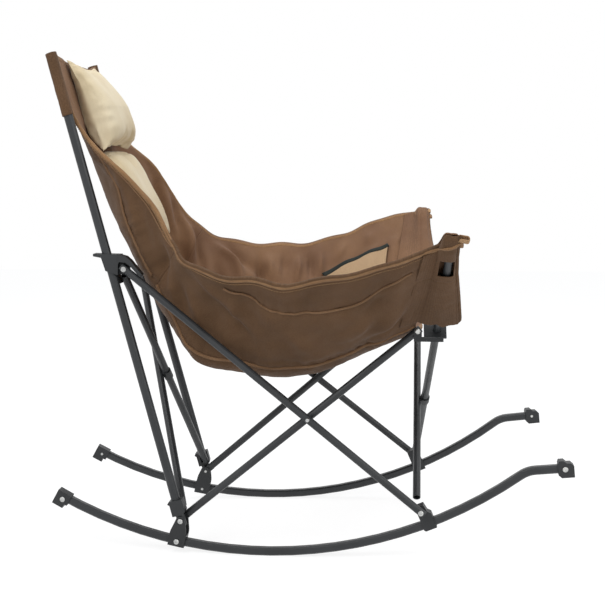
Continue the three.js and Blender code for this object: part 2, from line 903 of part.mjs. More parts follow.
// The sling's guide lines, one row for each station from the top of the back, down and forward
// to the seat's front edge. Each place is chosen by hand in shares of the frame: how far forward,
// how high, and how far out to the arm's tip. The frame's own places have the shares below.
const sling = {
  abovePost: 16.2,
  insideTip: 5,
  sleeveClear: 0.5,
  thickness: 11,
  rimThickness: 6,
  across: 24,
  backRows: 11,
  seatRows: 15,
  seam: gap,
};
const slingShares = {
  postAhead: 0.0055,
  cornerAhead: 0.9355,
  cornerHeight: 0.4618,
  postWidth: 0.3676,
  centre: [
    [0.0112, 0.9824],
    [0.0306, 0.9164],
    [0.0456, 0.8642],
    [0.0593, 0.8118],
    [0.0805, 0.7544],
    [0.1253, 0.6678],
    [0.1966, 0.5563],
    [0.2613, 0.462],
    [0.3495, 0.3805],
    [0.4493, 0.353],
    [0.585, 0.341],
    [0.7055, 0.3585],
    [0.8065, 0.3956],
    [0.8818, 0.4225],
    [0.9568, 0.4454],
  ],
  edge: [
    [0.0122, 0.9838, 0.2429],
    [0.0341, 0.9177, 0.2429],
    [0.0553, 0.8657, 0.2632],
    [0.0853, 0.8057, 0.2834],
    [0.1585, 0.7447, 0.3462],
    [0.1821, 0.6716, 0.3563],
    [0.2384, 0.5678, 0.3563],
    [0.2963, 0.4853, 0.3563],
    [0.3608, 0.4, 0.3603],
    [0.45, 0.383, 0.3664],
    [0.58, 0.371, 0.3745],
    [0.6982, 0.388, 0.4049],
    [0.7923, 0.4229, 0.4251],
    [0.8544, 0.4384, 0.4433],
    [0.9107, 0.4611, 0.4615],
  ],
  rightEdgeEnd: [0.927, 0.466, 0.4615], // the right side's last place, nearer its arm
  rightRim: [
    [0.0085, 0.9938, 0.3676],
    [0.0333, 0.9184, 0.3696],
    [0.0546, 0.871, 0.3715],
    [0.1073, 0.8158, 0.3846],
    [0.2019, 0.752, 0.4291],
    [0.2767, 0.6898, 0.4757],
    [0.3213, 0.6303, 0.5304],
    [0.354, 0.6005, 0.5769],
    [0.4299, 0.5777, 0.6377],
    [0.5237, 0.5715, 0.6984],
    [0.6199, 0.5653, 0.7591],
    [0.7335, 0.5846, 0.8502],
    [0.8339, 0.6047, 0.9211],
    [0.908, 0.6263, 0.9595],
    [0.9732, 0.6475, 0.9798],
  ],
  leftRim: [
    [0.0085, 0.9938, 0.3676],
    [0.0333, 0.9184, 0.3696],
    [0.0546, 0.871, 0.3715],
    [0.1075, 0.8213, 0.3806],
    [0.175, 0.7733, 0.417],
    [0.225, 0.7061, 0.4818],
    [0.2875, 0.6417, 0.5425],
    [0.35, 0.609, 0.5911],
    [0.4375, 0.5917, 0.6478],
    [0.5337, 0.5869, 0.7085],
    [0.6275, 0.5879, 0.7692],
    [0.73, 0.6052, 0.8502],
    [0.815, 0.6302, 0.9109],
    [0.894, 0.6494, 0.9514],
    [0.9665, 0.657, 0.9717],
  ],
  // how far the wall between edge and rim leans out of its straight line
  belly: [0, 0, 0, 0, 0, -0.04, -0.12, -0.22, -0.26, -0.18, -0.05, 0, 0.03, 0.03, 0],
};
const seamStation = 6.35; // where the back ends and the seat begins

const postTop = chairPoint(sides.left, postPoint(postLength, 0));
const cornerPlace = chairPoint(sides.left, cornerPivot);
const slingTop = postTop.z + sling.abovePost;
const slingPostWidth = postTop.y - postRadius - gap - sleeve.wall - sling.sleeveClear;
const slingTipWidth = Math.abs(frontTubeLine(sides.right, sides.left).tip.y) - sling.insideTip;
const between = (value, from, to) => (value - from) / (to - from);
function slingPlace([ahead, height, width = 0]) {
  const { postAhead, cornerAhead, cornerHeight, postWidth } = slingShares;
  return new THREE.Vector3(
    blend(postTop.x, cornerPlace.x, between(ahead, postAhead, cornerAhead)),
    width < postWidth
      ? blend(0, slingPostWidth, width / postWidth)
      : blend(slingPostWidth, slingTipWidth, between(width, postWidth, 1)),
    height < cornerHeight
      ? blend(0, cornerPlace.z, height / cornerHeight)
      : blend(cornerPlace.z, slingTop, between(height, cornerHeight, 1)),
  );
}
function slingLine(shares) {
  const places = shares.map(slingPlace);
  const curve = new THREE.CatmullRomCurve3(places, false, "catmullrom", 0.5);
  const last = places.length - 1;
  return (station) => curve.getPoint(Math.min(Math.max(station, 0), last) / last);
}
const centreLine = slingLine(slingShares.centre);
const edgeLines = {
  right: slingLine([...slingShares.edge.slice(0, -1), slingShares.rightEdgeEnd]),
  left: slingLine(slingShares.edge),
};
const rimLines = {
  right: slingLine(slingShares.rightRim),
  left: slingLine(slingShares.leftRim),
};
function bellyAt(station) {
  const last = slingShares.belly.length - 1;
  const place = Math.min(Math.max(station, 0), last);
  const row = Math.min(Math.floor(place), last - 1);
  return blend(slingShares.belly[row], slingShares.belly[row + 1], place - row);
}

// The main folds: soft upright gathers in the side walls
const gathers = { depth: 4.5, count: 9, from: 5.5 };
function slingPoint(station, share) {
  // share runs from -1, the right rim, through 0, the middle, to 1, the left rim
  const side = share < 0 ? -1 : 1;
  const centre = centreLine(station);
  const name = share < 0 ? "right" : "left";
  const edge = edgeLines[name](station);
  const rim = rimLines[name](station);
  const mid = new THREE.Vector3().lerpVectors(edge, rim, 0.5);
  mid.y += bellyAt(station) * (rim.y - edge.y);
  const half = new THREE.CatmullRomCurve3(
    [
      new THREE.Vector3(edge.x, -edge.y, edge.z),
      new THREE.Vector3(blend(centre.x, edge.x, 0.22), -edge.y * 0.5, blend(centre.z, edge.z, 0.22)),
      centre,
      new THREE.Vector3(blend(centre.x, edge.x, 0.22), edge.y * 0.5, blend(centre.z, edge.z, 0.22)),
      edge,
      mid,
      rim,
    ],
    false,
    "centripetal",
  );
  const place = half.getPoint(Math.min(2 + 4 * Math.abs(share), 6) / 6);
  place.y *= side;
  return place;
}

function slingNormal(station, share) {
  const step = 0.04;
  const lift = new THREE.Vector3().subVectors(
    slingPoint(station + step, share),
    slingPoint(station - step, share),
  );
  const across = new THREE.Vector3().subVectors(
    slingPoint(station, Math.min(share + step, 1)),
    slingPoint(station, Math.max(share - step, -1)),
  );
  return new THREE.Vector3().crossVectors(lift, across).normalize();
}

// A closed sheet over the sling's surface, between two stations and two shares
function slingSheet({ from, to, rows, left = -1, right = 1, across, offset, thickness, fold }) {
  const sides = [[], []];
  for (let i = 0; i <= rows; i++) {
    const station = blend(from, to, i / rows);
    for (let j = 0; j <= across; j++) {
      const share = blend(left, right, j / across);
      const place = slingPoint(station, share);
      const normal = slingNormal(station, share);
      const half = thickness(i / rows, j / across) / 2;
      const middle = offset(i / rows, j / across) + fold(station, share);
      sides[0].push(place.clone().addScaledVector(normal, middle + half));
      sides[1].push(place.clone().addScaledVector(normal, middle - half));
    }
  }
  return twoSided(sides, rows, across);
}

// Two grids of points, an upper and a lower one, closed along their borders
function twoSided([upper, lower], rows, across) {
  const width = across + 1;
  const count = upper.length;
  const faces = [];
  const quad = (a, b, c, d) => faces.push(a, b, c, a, c, d);
  for (let i = 0; i < rows; i++) {
    for (let j = 0; j < across; j++) {
      const a = i * width + j;
      quad(a, a + 1, a + width + 1, a + width);
      quad(count + a, count + a + width, count + a + width + 1, count + a + 1);
    }
  }
  for (let i = 0; i < rows; i++) {
    const a = i * width;
    quad(a, a + width, count + a + width, count + a);
    const b = a + across;
    quad(b + width, b, count + b, count + b + width);
  }
  for (let j = 0; j < across; j++) {
    quad(j + 1, j, count + j, count + j + 1);
    const b = rows * width + j;
    quad(b, b + 1, count + b + 1, count + b);
  }
  const geometry = new THREE.BufferGeometry();
  const positions = [...upper, ...lower].flatMap((p) => [p.x, p.y, p.z]);
  geometry.setAttribute("position", new THREE.Float32BufferAttribute(positions, 3));
  geometry.setIndex(faces);
  return toSolid(geometry).volume() < 0 ? flipped(geometry) : geometry;
}

// Padded in the middle and thin at the rims
const crowned = (i, j) =>
  sling.rimThickness +
  (sling.thickness - sling.rimThickness) *
    Math.sqrt(Math.sin(Math.PI * Math.min(Math.max(j, 0), 1))) *
    (0.6 + 0.4 * Math.sin(Math.PI * i));
const gatherFold = (station, share) => {
  const wall = Math.max(0, Math.abs(share) - 0.45) * Math.max(0, 1 - Math.abs(share)) * 8;
  const inSeat = Math.min(Math.max(station - gathers.from, 0), 1);
  return gathers.depth * wall * inSeat * Math.sin(station * gathers.count * 0.7);
};

const lastStation = slingShares.centre.length - 1;
const backPanel = () =>
  slingSheet({
    from: 0,
    to: seamStation,
    rows: sling.backRows,
    across: sling.across,
    offset: () => 0,
    thickness: crowned,
    fold: gatherFold,
  });
const seatBucket = () =>
  slingSheet({
    from: seamStation + 0.03,
    to: lastStation,
    rows: sling.seatRows,
    across: sling.across,
    offset: () => 0,
    thickness: crowned,
    fold: gatherFold,
  });

// The net pocket on the inside of the left wall
const pocket = {
  from: 10.9,
  to: 12.9,
  low: 0.6,
  high: 0.84,
  rows: 6,
  across: 5,
  thickness: 2,
  clear: 1.2,
};
const meshPocket = (inward) =>
  slingSheet({
    from: pocket.from,
    to: pocket.to,
    rows: pocket.rows,
    left: pocket.low,
    right: pocket.high,
    across: pocket.across,
    offset: () => inward * (sling.thickness / 2 + pocket.thickness / 2 + pocket.clear),
    thickness: () => pocket.thickness,
    fold: gatherFold,
  });

// A stuffed cushion: a crown on each face, and sides drawn in between its corners
function cushion({ halfWidth, halfLength, front, back, drawn, hem, rows, across, sag = 0 }) {
  const sides = [[], []];
  for (let i = 0; i <= rows; i++) {
    const v = (2 * i) / rows - 1;
    for (let j = 0; j <= across; j++) {
      const u = (2 * j) / across - 1;
      const y = u * (halfWidth - drawn * (1 - v * v) * u * u);
      const z = v * (halfLength - drawn * (1 - u * u) * v * v);
      const crown = Math.pow((1 - u ** 4) * (1 - v ** 4), 0.55);
      const low = 1 + sag * -v;
      sides[0].push(new THREE.Vector3(hem + front * crown * low, y, z));
      sides[1].push(new THREE.Vector3(-hem - back * crown, y, z));
    }
  }
  return twoSided(sides, rows, across);
}

const pillow = {
  halfWidth: 141,
  halfLength: 99,
  front: 40,
  back: 20,
  drawn: 8,
  hem: 1.6,
  rows: 14,
  across: 18,
  sag: 0.12,
  lean: 17 * degree,
  aheadOfTop: 54,
  belowTop: 86,
};
// The lumbar pad lies on the back, so its rear face follows the sling
const lumbar = {
  from: 3.16,
  to: 5.75,
  half: 0.42,
  rows: 12,
  across: 16,
  hem: 3,
  clear: 2.4,
  crown: 82,
  fullness: 0.5,
};
const lumbarThickness = (i, j) => {
  const [u, v] = [2 * j - 1, 2 * i - 1];
  return lumbar.hem + lumbar.crown * Math.pow((1 - u ** 4) * (1 - v ** 4), lumbar.fullness);
};
const lumbarPad = (inward) =>
  slingSheet({
    from: lumbar.from,
    to: lumbar.to,
    rows: lumbar.rows,
    left: -lumbar.half,
    right: lumbar.half,
    across: lumbar.across,
    offset: (i, j) => inward * (sling.thickness / 2 + lumbar.clear + lumbarThickness(i, j) / 2),
    thickness: lumbarThickness,
    fold: () => 0,
  });
const placedCushion = (values) =>
  cushion(values)
    .rotateY(-values.lean)
    .translate(postTop.x + values.aheadOfTop, 0, postTop.z - values.belowTop);

function postSleeve() {
  const radius = postRadius + gap + sleeve.wall;
  return cut(
    bar(postPoint(postLength - sleeve.length, 0), postPoint(postLength + sleeve.headroom + sleeve.beyond, 0), radius),
    bar(
      postPoint(postLength - sleeve.length - overrun, 0),
      postPoint(postLength + sleeve.headroom, 0),
      postRadius + gap,
    ),
  );
}

// The cloth pocket over an arm's tip
const armPocket = {
  from: 50,
  wall: 3,
  headroom: 2,
  beyond: 9,
  halfWidth: 38,
  halfDepth: 12,
  ringShares: [
    // of the length, of the half width, its middle ahead of the tube, of the half depth
    [0, 1, 0, 1],
    [0.25, 0.9211, 0, 1],
    [0.5, 0.7895, 0, 0.9667],
    [0.72, 0.6316, 0.0526, 0.9667],
    [0.9, 0.5789, 0.1053, 1.0417],
    [0.975, 0.5526, 0.1316, 0.9667],
    [1, 0.4211, 0.1316, 0.5833],
  ],
  facets: 18,
  windowFrom: 196,
  windowTo: 226,
  windowBehind: 19,
  windowAhead: 17,
};
function armSleeve({ hinge, tip, direction }) {
  const start = hinge.clone().addScaledVector(direction, armPocket.from);
  const end = tip.clone().addScaledVector(direction, armPocket.headroom + armPocket.beyond);
  const length = start.distanceTo(end);
  const radius = tubeRadius + gap + armPocket.wall;
  const up = new THREE.Vector3(0, 1, 0);
  const turn = new THREE.Quaternion().setFromUnitVectors(up, direction);
  const body = loft(
    armPocket.ringShares.map(([share, half, ahead, depth]) =>
      Array.from({ length: armPocket.facets }, (_, k) => {
        const angle = (2 * Math.PI * k) / armPocket.facets;
        return new THREE.Vector3(
          armPocket.halfWidth * (ahead + half * Math.cos(angle)),
          share * length,
          armPocket.halfDepth * depth * Math.sin(angle),
        );
      }),
    ),
  )
    .applyQuaternion(turn)
    .translate(start.x, start.y, start.z);
  const opening = block(
    [-armPocket.windowBehind, armPocket.windowFrom, -radius - overrun],
    [armPocket.windowAhead, armPocket.windowTo, radius + overrun],
  )
    .applyQuaternion(turn)
    .translate(hinge.x, hinge.y, hinge.z);
  return cut(
    body,
    opening,
    bar(
      start.clone().addScaledVector(direction, -overrun),
      tip.clone().addScaledVector(direction, armPocket.headroom),
      tubeRadius + gap,
    ),
  );
}

// The small loop of tape sewn to the arm's tip
const loop = { length: 20, width: 11, thick: 3, below: 16, ahead: 26.6 };
function armLoop({ tip, direction }) {
  const base = tip.clone().addScaledVector(direction, armPocket.headroom - loop.below);
  const lateral = new THREE.Vector3().crossVectors(direction, new THREE.Vector3(1, 0, 0));
  const basis = new THREE.Matrix4()
    .makeBasis(new THREE.Vector3(1, 0, 0), direction, lateral.negate().normalize())
    .setPosition(base);
  return block(
    [loop.ahead, -loop.width / 2, -loop.thick / 2],
    [loop.ahead + loop.length, loop.width / 2, loop.thick / 2],
  ).applyMatrix4(basis);
}

// Assembly
const chair = new THREE.Group();

function addPiece(parent, name, geometry, finish) {
  const mesh = new THREE.Mesh(geometry, finish);
  mesh.name = name;
  parent.add(mesh);
}

function addSide(side, other) {
  const group = new THREE.Group();
  group.position.set(rearFootX, side.sign * halfTrack, 0);
  group.rotation.z = side.sign * toeOut;
  chair.add(group);
  const add = (name, geometry, finish) =>
    addPiece(
      group,
      side.name + "_" + name,
      side.sign > 0 ? geometry : mirrored(geometry),
      finish,
    );

  add("rocker_rail", rockerRail(), tubePaint);
  add("rear_end_cap", rearEndCap(), plastic);
  add("front_end_cap", frontEndCap(), plastic);
  add("rear_foot_bracket", rearFootBracket(), plastic);
  add("front_foot_saddle", frontFootSaddle(), plastic);
  add("back_post", backPost(), tubePaint);
  add("lower_collar", lowerCollar(), plastic);
  add("slider_bracket", sliderBracket(side), plastic);
  add("long_side_tube", longSideTube(), tubePaint);
  add("short_side_tube", shortSideTube(), tubePaint);
  add("corner_bracket", cornerBracket(side), plastic);
  add("side_rivet", sideRivet(), zinc);
  add("post_sleeve", postSleeve(), cloth);

  // bolts: where, inner end of the shank, under the head
  const capReach = rail.width / 2 + rearCap.side;
  const frontCapReach = rail.width / 2 + frontCap.side;
  const boltList = {
    slider_bolt: [
      sliderPivot,
      slider.earInner,
      layer.longAtSlider + tubeRadius + gap,
    ],
    corner_bolt: [
      cornerPivot,
      layer.shortAtCorner - tubeRadius,
      layer.shortAtCorner + tubeRadius + corner.earThick + 2 * gap,
    ],
    rear_foot_bolt: [
      rearFootPivot,
      innerCheek.from,
      outerCheek.to + gap,
    ],
    rail_bolt: [railBoltPlace, innerCheek.from, outerCheek.to + gap],
    front_foot_bolt: [
      frontFootPivot,
      layer.longAtFoot - tubeRadius + gap,
      layer.longAtFoot + tubeRadius + gap,
    ],
    rear_cap_screw: [rearCapScrewPlace, -capReach, capReach + gap],
    front_cap_screw: [frontCapScrewPlace, -frontCapReach, frontCapReach + gap],
  };
  for (const [name, [place, from, to]] of Object.entries(boltList)) {
    add(name, boltAt(place, from, to), zinc);
  }

  const line = { ...frontTubeLine(side, other), frontTubeAhead: side.frontTubeAhead };
  addPiece(
    chair,
    side.name + "_front_cross_tube",
    pipe(line.foot, line.tip, tubeRadius, tubeWall),
    tubePaint,
  );
  addPiece(chair, side.name + "_arm_socket", armSocket(line), plastic);
  addPiece(chair, side.name + "_arm_sleeve", armSleeve(line), cloth);
  addPiece(chair, side.name + "_arm_loop", armLoop(line), bindingTape);
  addPiece(
    chair,
    side.name + "_rear_cross_tube",
    rearCrossTube(rearTubeLine(side, other)),
    tubePaint,
  );
}

addSide(sides.right, sides.left);
addSide(sides.left, sides.right);

const forward = new THREE.Vector3(1, 0, 0);
const squareToPost = new THREE.Vector3(Math.cos(postLean), 0, Math.sin(postLean));
const frontLine = frontTubeLine(sides.right, sides.left);
const rearLine = rearTubeLine(sides.right, sides.left);
addPiece(
  chair,
  "front_cross_clip",
  crossClip(frontLine.foot, frontLine.hinge, forward),
  plastic,
);
addPiece(
  chair,
  "rear_cross_clip",
  crossClip(rearLine.foot, rearLine.top, squareToPost),
  plastic,
);

addPiece(chair, "back_panel", backPanel(), cloth);
addPiece(chair, "seat_bucket", seatBucket(), clothInside);
addPiece(chair, "head_pillow", placedCushion(pillow), beigeCloth);
addPiece(chair, "lumbar_pad", lumbarPad(1), beigeCloth);
addPiece(chair, "mesh_pocket", meshPocket(1), meshCloth);

// The reference point: on the floor, under the middle of the chair's length
const bounds = new THREE.Box3().setFromObject(chair, true);
chair.position.set(-(bounds.min.x + bounds.max.x) / 2, 0, -bounds.min.z);
chair.updateMatrixWorld(true);

export default chair;
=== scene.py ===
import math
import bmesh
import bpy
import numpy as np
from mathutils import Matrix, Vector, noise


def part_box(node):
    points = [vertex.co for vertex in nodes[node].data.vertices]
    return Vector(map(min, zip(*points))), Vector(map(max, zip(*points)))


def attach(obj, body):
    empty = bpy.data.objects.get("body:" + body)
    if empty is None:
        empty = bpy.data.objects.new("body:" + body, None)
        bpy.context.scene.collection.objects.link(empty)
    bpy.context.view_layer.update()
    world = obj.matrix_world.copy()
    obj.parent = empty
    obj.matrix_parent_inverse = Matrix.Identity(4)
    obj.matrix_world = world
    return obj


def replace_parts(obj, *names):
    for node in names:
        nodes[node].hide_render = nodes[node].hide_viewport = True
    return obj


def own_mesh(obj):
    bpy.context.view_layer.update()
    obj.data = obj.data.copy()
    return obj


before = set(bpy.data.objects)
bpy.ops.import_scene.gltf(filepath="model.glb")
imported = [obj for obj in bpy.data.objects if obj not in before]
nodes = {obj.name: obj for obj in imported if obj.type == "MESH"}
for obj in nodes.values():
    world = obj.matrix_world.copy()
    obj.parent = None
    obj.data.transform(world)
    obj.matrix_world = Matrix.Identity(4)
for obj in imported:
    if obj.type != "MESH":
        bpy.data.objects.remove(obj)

# %% [markdown]
# # Dressing a folding rocking chair
# The frame that was just loaded is the whole chair as plain solids: two rocker rails, crossed steel
# tubes, plastic feet and sliders, and grey stand-ins for everything soft. This file keeps the hard
# parts and gives them a finish, and it makes each soft part again as real cloth. Everything is in
# metres and in the frame's own place, so nothing has to be fitted afterwards.

def unit(x):
    """A number, or each of many, kept between 0 and 1."""
    return np.clip(x, 0, 1)


def bell(x, middle, width):
    """1 at the middle, and close to 0 beyond the width."""
    return np.exp(-((x - middle) / width)**2)


scene = bpy.context.scene
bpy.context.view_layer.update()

# %% [markdown]
# ## Where the picture is taken from
# The picture looks slightly down at the chair's right side from well back, so the lens is long and
# the two rails nearly overlap. A camera could be aimed with a tracking constraint. Plain numbers are
# used instead, because the view was solved once from the feet, the bolts and the tubes.

# %% Camera
camera = bpy.data.objects.new("camera", bpy.data.cameras.new("camera"))
scene.collection.objects.link(camera)
camera.location = (0.107, -2.70, 0.838)
camera.rotation_euler = (math.radians(90 - 7.0), 0, math.radians(2.73))
camera.data.lens = 73.0
camera.data.sensor_width = 36.0
scene.camera = camera
scene.view_settings.view_transform = "Standard"
print("camera at", tuple(round(c, 3) for c in camera.location))

# %% [markdown]
# ## A pale studio
# The chair stands in an even white studio with a soft shadow under the rails. The world gives the
# shadowless part of the light, and three large lamps model the folds. What the camera sees behind
# the chair is plain white, which comes from the ray kind and not from more light on the chair.

# %% World light with a white look
def add(tree, kind, links=None, **settings):
    """A new node in a tree, with its settings and its inputs filled or linked."""
    node = tree.nodes.new(kind)
    for key, value in settings.items():
        setattr(node, key, value)
    for key, value in (links or {}).items():
        if isinstance(value, bpy.types.NodeSocket):
            tree.links.new(value, node.inputs[key])
        else:
            node.inputs[key].default_value = value
    return node


def calc(tree, operation, a, b):
    """One sum in a node tree."""
    return add(tree, "ShaderNodeMath", {0: a, 1: b}, operation=operation).outputs[0]


def seen_directly(tree):
    """1 where the camera, a mirror or a glass looks straight at the surface."""
    ray = add(tree, "ShaderNodeLightPath")
    some = calc(tree, "MAXIMUM", ray.outputs["Is Camera Ray"], ray.outputs["Is Glossy Ray"])
    return calc(tree, "MAXIMUM", some, ray.outputs["Is Transmission Ray"])


studio = bpy.data.worlds.new("studio")
studio.use_nodes = True
tree = studio.node_tree
tree.nodes.clear()
soft_light = add(tree, "ShaderNodeBackground", {"Color": (0.95, 0.97, 1.0, 1), "Strength": 0.52})
white_look = add(tree, "ShaderNodeBackground", {"Color": (1, 1, 1, 1), "Strength": 1.0})
mixed = add(tree, "ShaderNodeMixShader", {0: seen_directly(tree), 1: soft_light.outputs[0],
                                          2: white_look.outputs[0]})
add(tree, "ShaderNodeOutputWorld", {0: mixed.outputs[0]})
scene.world = studio

# %% Floor that keeps the shadow
def mesh_object(name, bm, smooth=True):
    """Turns a bmesh into an object at the origin."""
    mesh = bpy.data.meshes.new(name)
    bm.to_mesh(mesh)
    bm.free()
    obj = bpy.data.objects.new(name, mesh)
    scene.collection.objects.link(obj)
    mesh.polygons.foreach_set("use_smooth", [smooth] * len(mesh.polygons))
    return obj


floor_half = 6.0
bm = bmesh.new()
bmesh.ops.create_grid(bm, x_segments=2, y_segments=2, size=floor_half)
floor = mesh_object("studio_floor", bm, smooth=False)
paper = bpy.data.materials.new("studio_paper")
paper.use_nodes = True
tree = paper.node_tree
tree.nodes.clear()
matt = add(tree, "ShaderNodeBsdfDiffuse", {"Color": (0.80, 0.80, 0.80, 1)})
part_matt = add(tree, "ShaderNodeBsdfDiffuse", {"Color": (0.30, 0.30, 0.30, 1)})
glow = add(tree, "ShaderNodeEmission", {"Color": (1, 1, 1, 1), "Strength": 0.83})
lifted = add(tree, "ShaderNodeAddShader", {0: part_matt.outputs[0], 1: glow.outputs[0]})
both = add(tree, "ShaderNodeMixShader", {0: seen_directly(tree), 1: matt.outputs[0], 2: lifted.outputs[0]})
add(tree, "ShaderNodeOutputMaterial", {0: both.outputs[0]})
floor.data.materials.append(paper)

# %% Three soft lamps
def lamp(name, place, target, size, power):
    """A square soft box at a place, turned to a target."""
    light = bpy.data.lights.new(name, "AREA")
    light.size, light.energy = size, power
    obj = bpy.data.objects.new(name, light)
    scene.collection.objects.link(obj)
    obj.location = place
    obj.rotation_euler = (Vector(target) - Vector(place)).to_track_quat("-Z", "Y").to_euler()


lamp("key_lamp", (-1.5, -2.4, 2.7), (0, 0, 0.5), 1.6, 46)
lamp("fill_lamp", (2.3, -2.0, 1.5), (0, 0, 0.5), 2.0, 20)
lamp("top_lamp", (0.2, 0.8, 2.9), (0, 0, 0.5), 1.8, 30)
print("studio ready")

# %% [markdown]
# ## Finishes for the hard parts
# The tubes are powder coated in charcoal, which is smooth but slightly grained. The feet, caps and
# sliders are moulded plastic with a fine texture, and the bolts are zinc plated. Image textures
# could be used. Noise read on Object coordinates is enough here and never slides, because each
# solid's place is in its own mesh.

# %% A finish from noise
def new_finish(name, colour, roughness, metallic=0.0, **sockets):
    """A shader with fixed values set on its own sockets. Returns the material, tree and shader."""
    material = bpy.data.materials.new(name)
    material.use_nodes = True
    tree = material.node_tree
    shader = tree.nodes["Principled BSDF"]
    shader.inputs["Base Color"].default_value = (*colour, 1)
    shader.inputs["Roughness"].default_value = roughness
    shader.inputs["Metallic"].default_value = metallic
    for key, value in sockets.items():
        shader.inputs[key.replace("_", " ")].default_value = value
    return material, tree, shader


def srgb(code):
    """A colour written as six hex digits, as the linear numbers that a shader takes."""
    parts = [int(code[i:i + 2], 16) / 255 for i in (0, 2, 4)]
    return tuple(p / 12.92 if p <= 0.04045 else ((p + 0.055) / 1.055) ** 2.4 for p in parts)


def mapped(tree, value, from_low, from_high, to_low=0, to_high=1):
    """A value stretched from one range to another."""
    limits = {0: value, 1: from_low, 2: from_high, 3: to_low, 4: to_high}
    return add(tree, "ShaderNodeMapRange", limits).outputs[0]


def two_tone(tree, factor, low, high):
    """A mix of two colours."""
    colours = {"Factor": factor, 6: (*low, 1), 7: (*high, 1)}
    return add(tree, "ShaderNodeMix", colours, data_type="RGBA").outputs[2]


def cloud(tree, where, scale, detail, **more):
    """Noise from 0 to 1."""
    settings = {"Vector": where, "Scale": scale, "Detail": detail, **more}
    return add(tree, "ShaderNodeTexNoise", settings).outputs["Fac"]


def blotch(tree, where, scale, low, high, detail=3.0):
    """Colour that drifts between two tones with noise."""
    return two_tone(tree, mapped(tree, cloud(tree, where, scale, detail), .35, .65), low, high)


def bumped(tree, shader, height, strength, distance):
    """Bump from a height that the nodes work out."""
    bump = add(tree, "ShaderNodeBump", {"Strength": strength, "Distance": distance, "Height": height})
    tree.links.new(bump.outputs[0], shader.inputs["Normal"])


def rough_drift(tree, shader, where, scale, low, high):
    """Roughness that changes a little from place to place, as handled surfaces do."""
    drift = mapped(tree, cloud(tree, where, scale, 5.0), 0.3, 0.7, low, high)
    tree.links.new(drift, shader.inputs["Roughness"])


# %% Paint, plastic and zinc
def hard_finish(name, dark, light, scale, bump_scale, bump, rough, metallic=0.0, **sockets):
    material, tree, shader = new_finish(name, dark, rough[0], metallic, **sockets)
    here = add(tree, "ShaderNodeTexCoord").outputs["Object"]
    tree.links.new(blotch(tree, here, scale, dark, light), shader.inputs["Base Color"])
    rough_drift(tree, shader, here, scale * 3, *rough)
    bumped(tree, shader, cloud(tree, here, bump_scale, 4.0), bump, 0.0004)
    return material


finishes = {
    "tube_paint": hard_finish("charcoal_powder_coat", srgb("26282a"), srgb("303234"), 9, 1400, 0.10,
                              (0.34, 0.48), Specular_IOR_Level=0.42, Coat_Weight=0.05, Coat_Roughness=0.4),
    "plastic": hard_finish("moulded_black_plastic", srgb("17191b"), srgb("212325"), 14, 900, 0.16,
                           (0.42, 0.58)),
    "zinc": hard_finish("zinc_plate", srgb("b4b5b4"), srgb("d4d4d0"), 60, 500, 0.08, (0.22, 0.38),
                        metallic=1.0),
}

# %% Give every hard solid its finish
zinc_words = ("bolt", "screw", "rivet")
plastic_words = ("cap", "foot", "slider", "collar", "clip", "corner", "socket")
for name, obj in nodes.items():
    kind = ("zinc" if any(word in name for word in zinc_words)
            else "plastic" if any(word in name for word in plastic_words) else "tube_paint")
    if not obj.material_slots:
        obj.data.materials.append(finishes[kind])
    for held in obj.material_slots:
        held.material = finishes[kind]
print("solids finished:", len(nodes))

# %% [markdown]
# ## The shape of the sling
# The cloth is one long hammock: it starts at the top of the back, runs down to the seat and forward
# to the front edge, and its sides rise to the post sleeves and the arms. It is described by five
# lines from top to front: the middle, the two lower edges and the two rims. A point on the cloth is
# then a station along the lines and a share across them, from -1 at the right rim to 1 at the left.

# %% Lines of the sling
middle_line = ((.0112, .9824), (.0306, .9164), (.0456, .8642), (.0593, .8118), (.0805, .7544),
               (.1253, .6678), (.1966, .5563), (.2613, .462), (.3495, .3805), (.4493, .353),
               (.585, .341), (.7055, .3585), (.8065, .3956), (.8818, .4225), (.9568, .4454))
edge_line = ((.0122, .9838, .2429), (.0341, .9177, .2429), (.0553, .8657, .2632), (.0853, .8057, .2834),
             (.1585, .7447, .3462), (.1821, .6716, .3563), (.2384, .5678, .3563), (.2963, .4853, .3563),
             (.3608, .4, .3603), (.45, .383, .3664), (.58, .371, .3745), (.6982, .388, .4049),
             (.7923, .4229, .4251), (.8544, .4384, .4433), (.9107, .4611, .4615))
right_rim = ((.0085, .9938, .3676), (.0333, .9184, .3696), (.0546, .871, .3715), (.1073, .8158, .3846),
             (.2019, .752, .4291), (.2767, .6898, .4757), (.3213, .6303, .5304), (.354, .6005, .5769),
             (.4299, .5777, .6377), (.5237, .5715, .6984), (.6199, .5653, .7591), (.7335, .5846, .8502),
             (.8339, .6047, .9211), (.908, .6263, .9595), (.9732, .6475, .9798))
left_rim = ((.0085, .9938, .3676), (.0333, .9184, .3696), (.0546, .871, .3715), (.1075, .8213, .3806),
            (.175, .7733, .417), (.225, .7061, .4818), (.2875, .6417, .5425), (.35, .609, .5911),
            (.4375, .5917, .6478), (.5337, .5869, .7085), (.6275, .5879, .7692), (.73, .6052, .8502),
            (.815, .6302, .9109), (.894, .6494, .9514), (.9665, .657, .9717))
wall_sag = (0, 0, 0, 0, 0, -.04, -.12, -.22, -.26, -.18, -.05, 0, .03, .03, 0)
last_station = 14
fold_station = 6.35


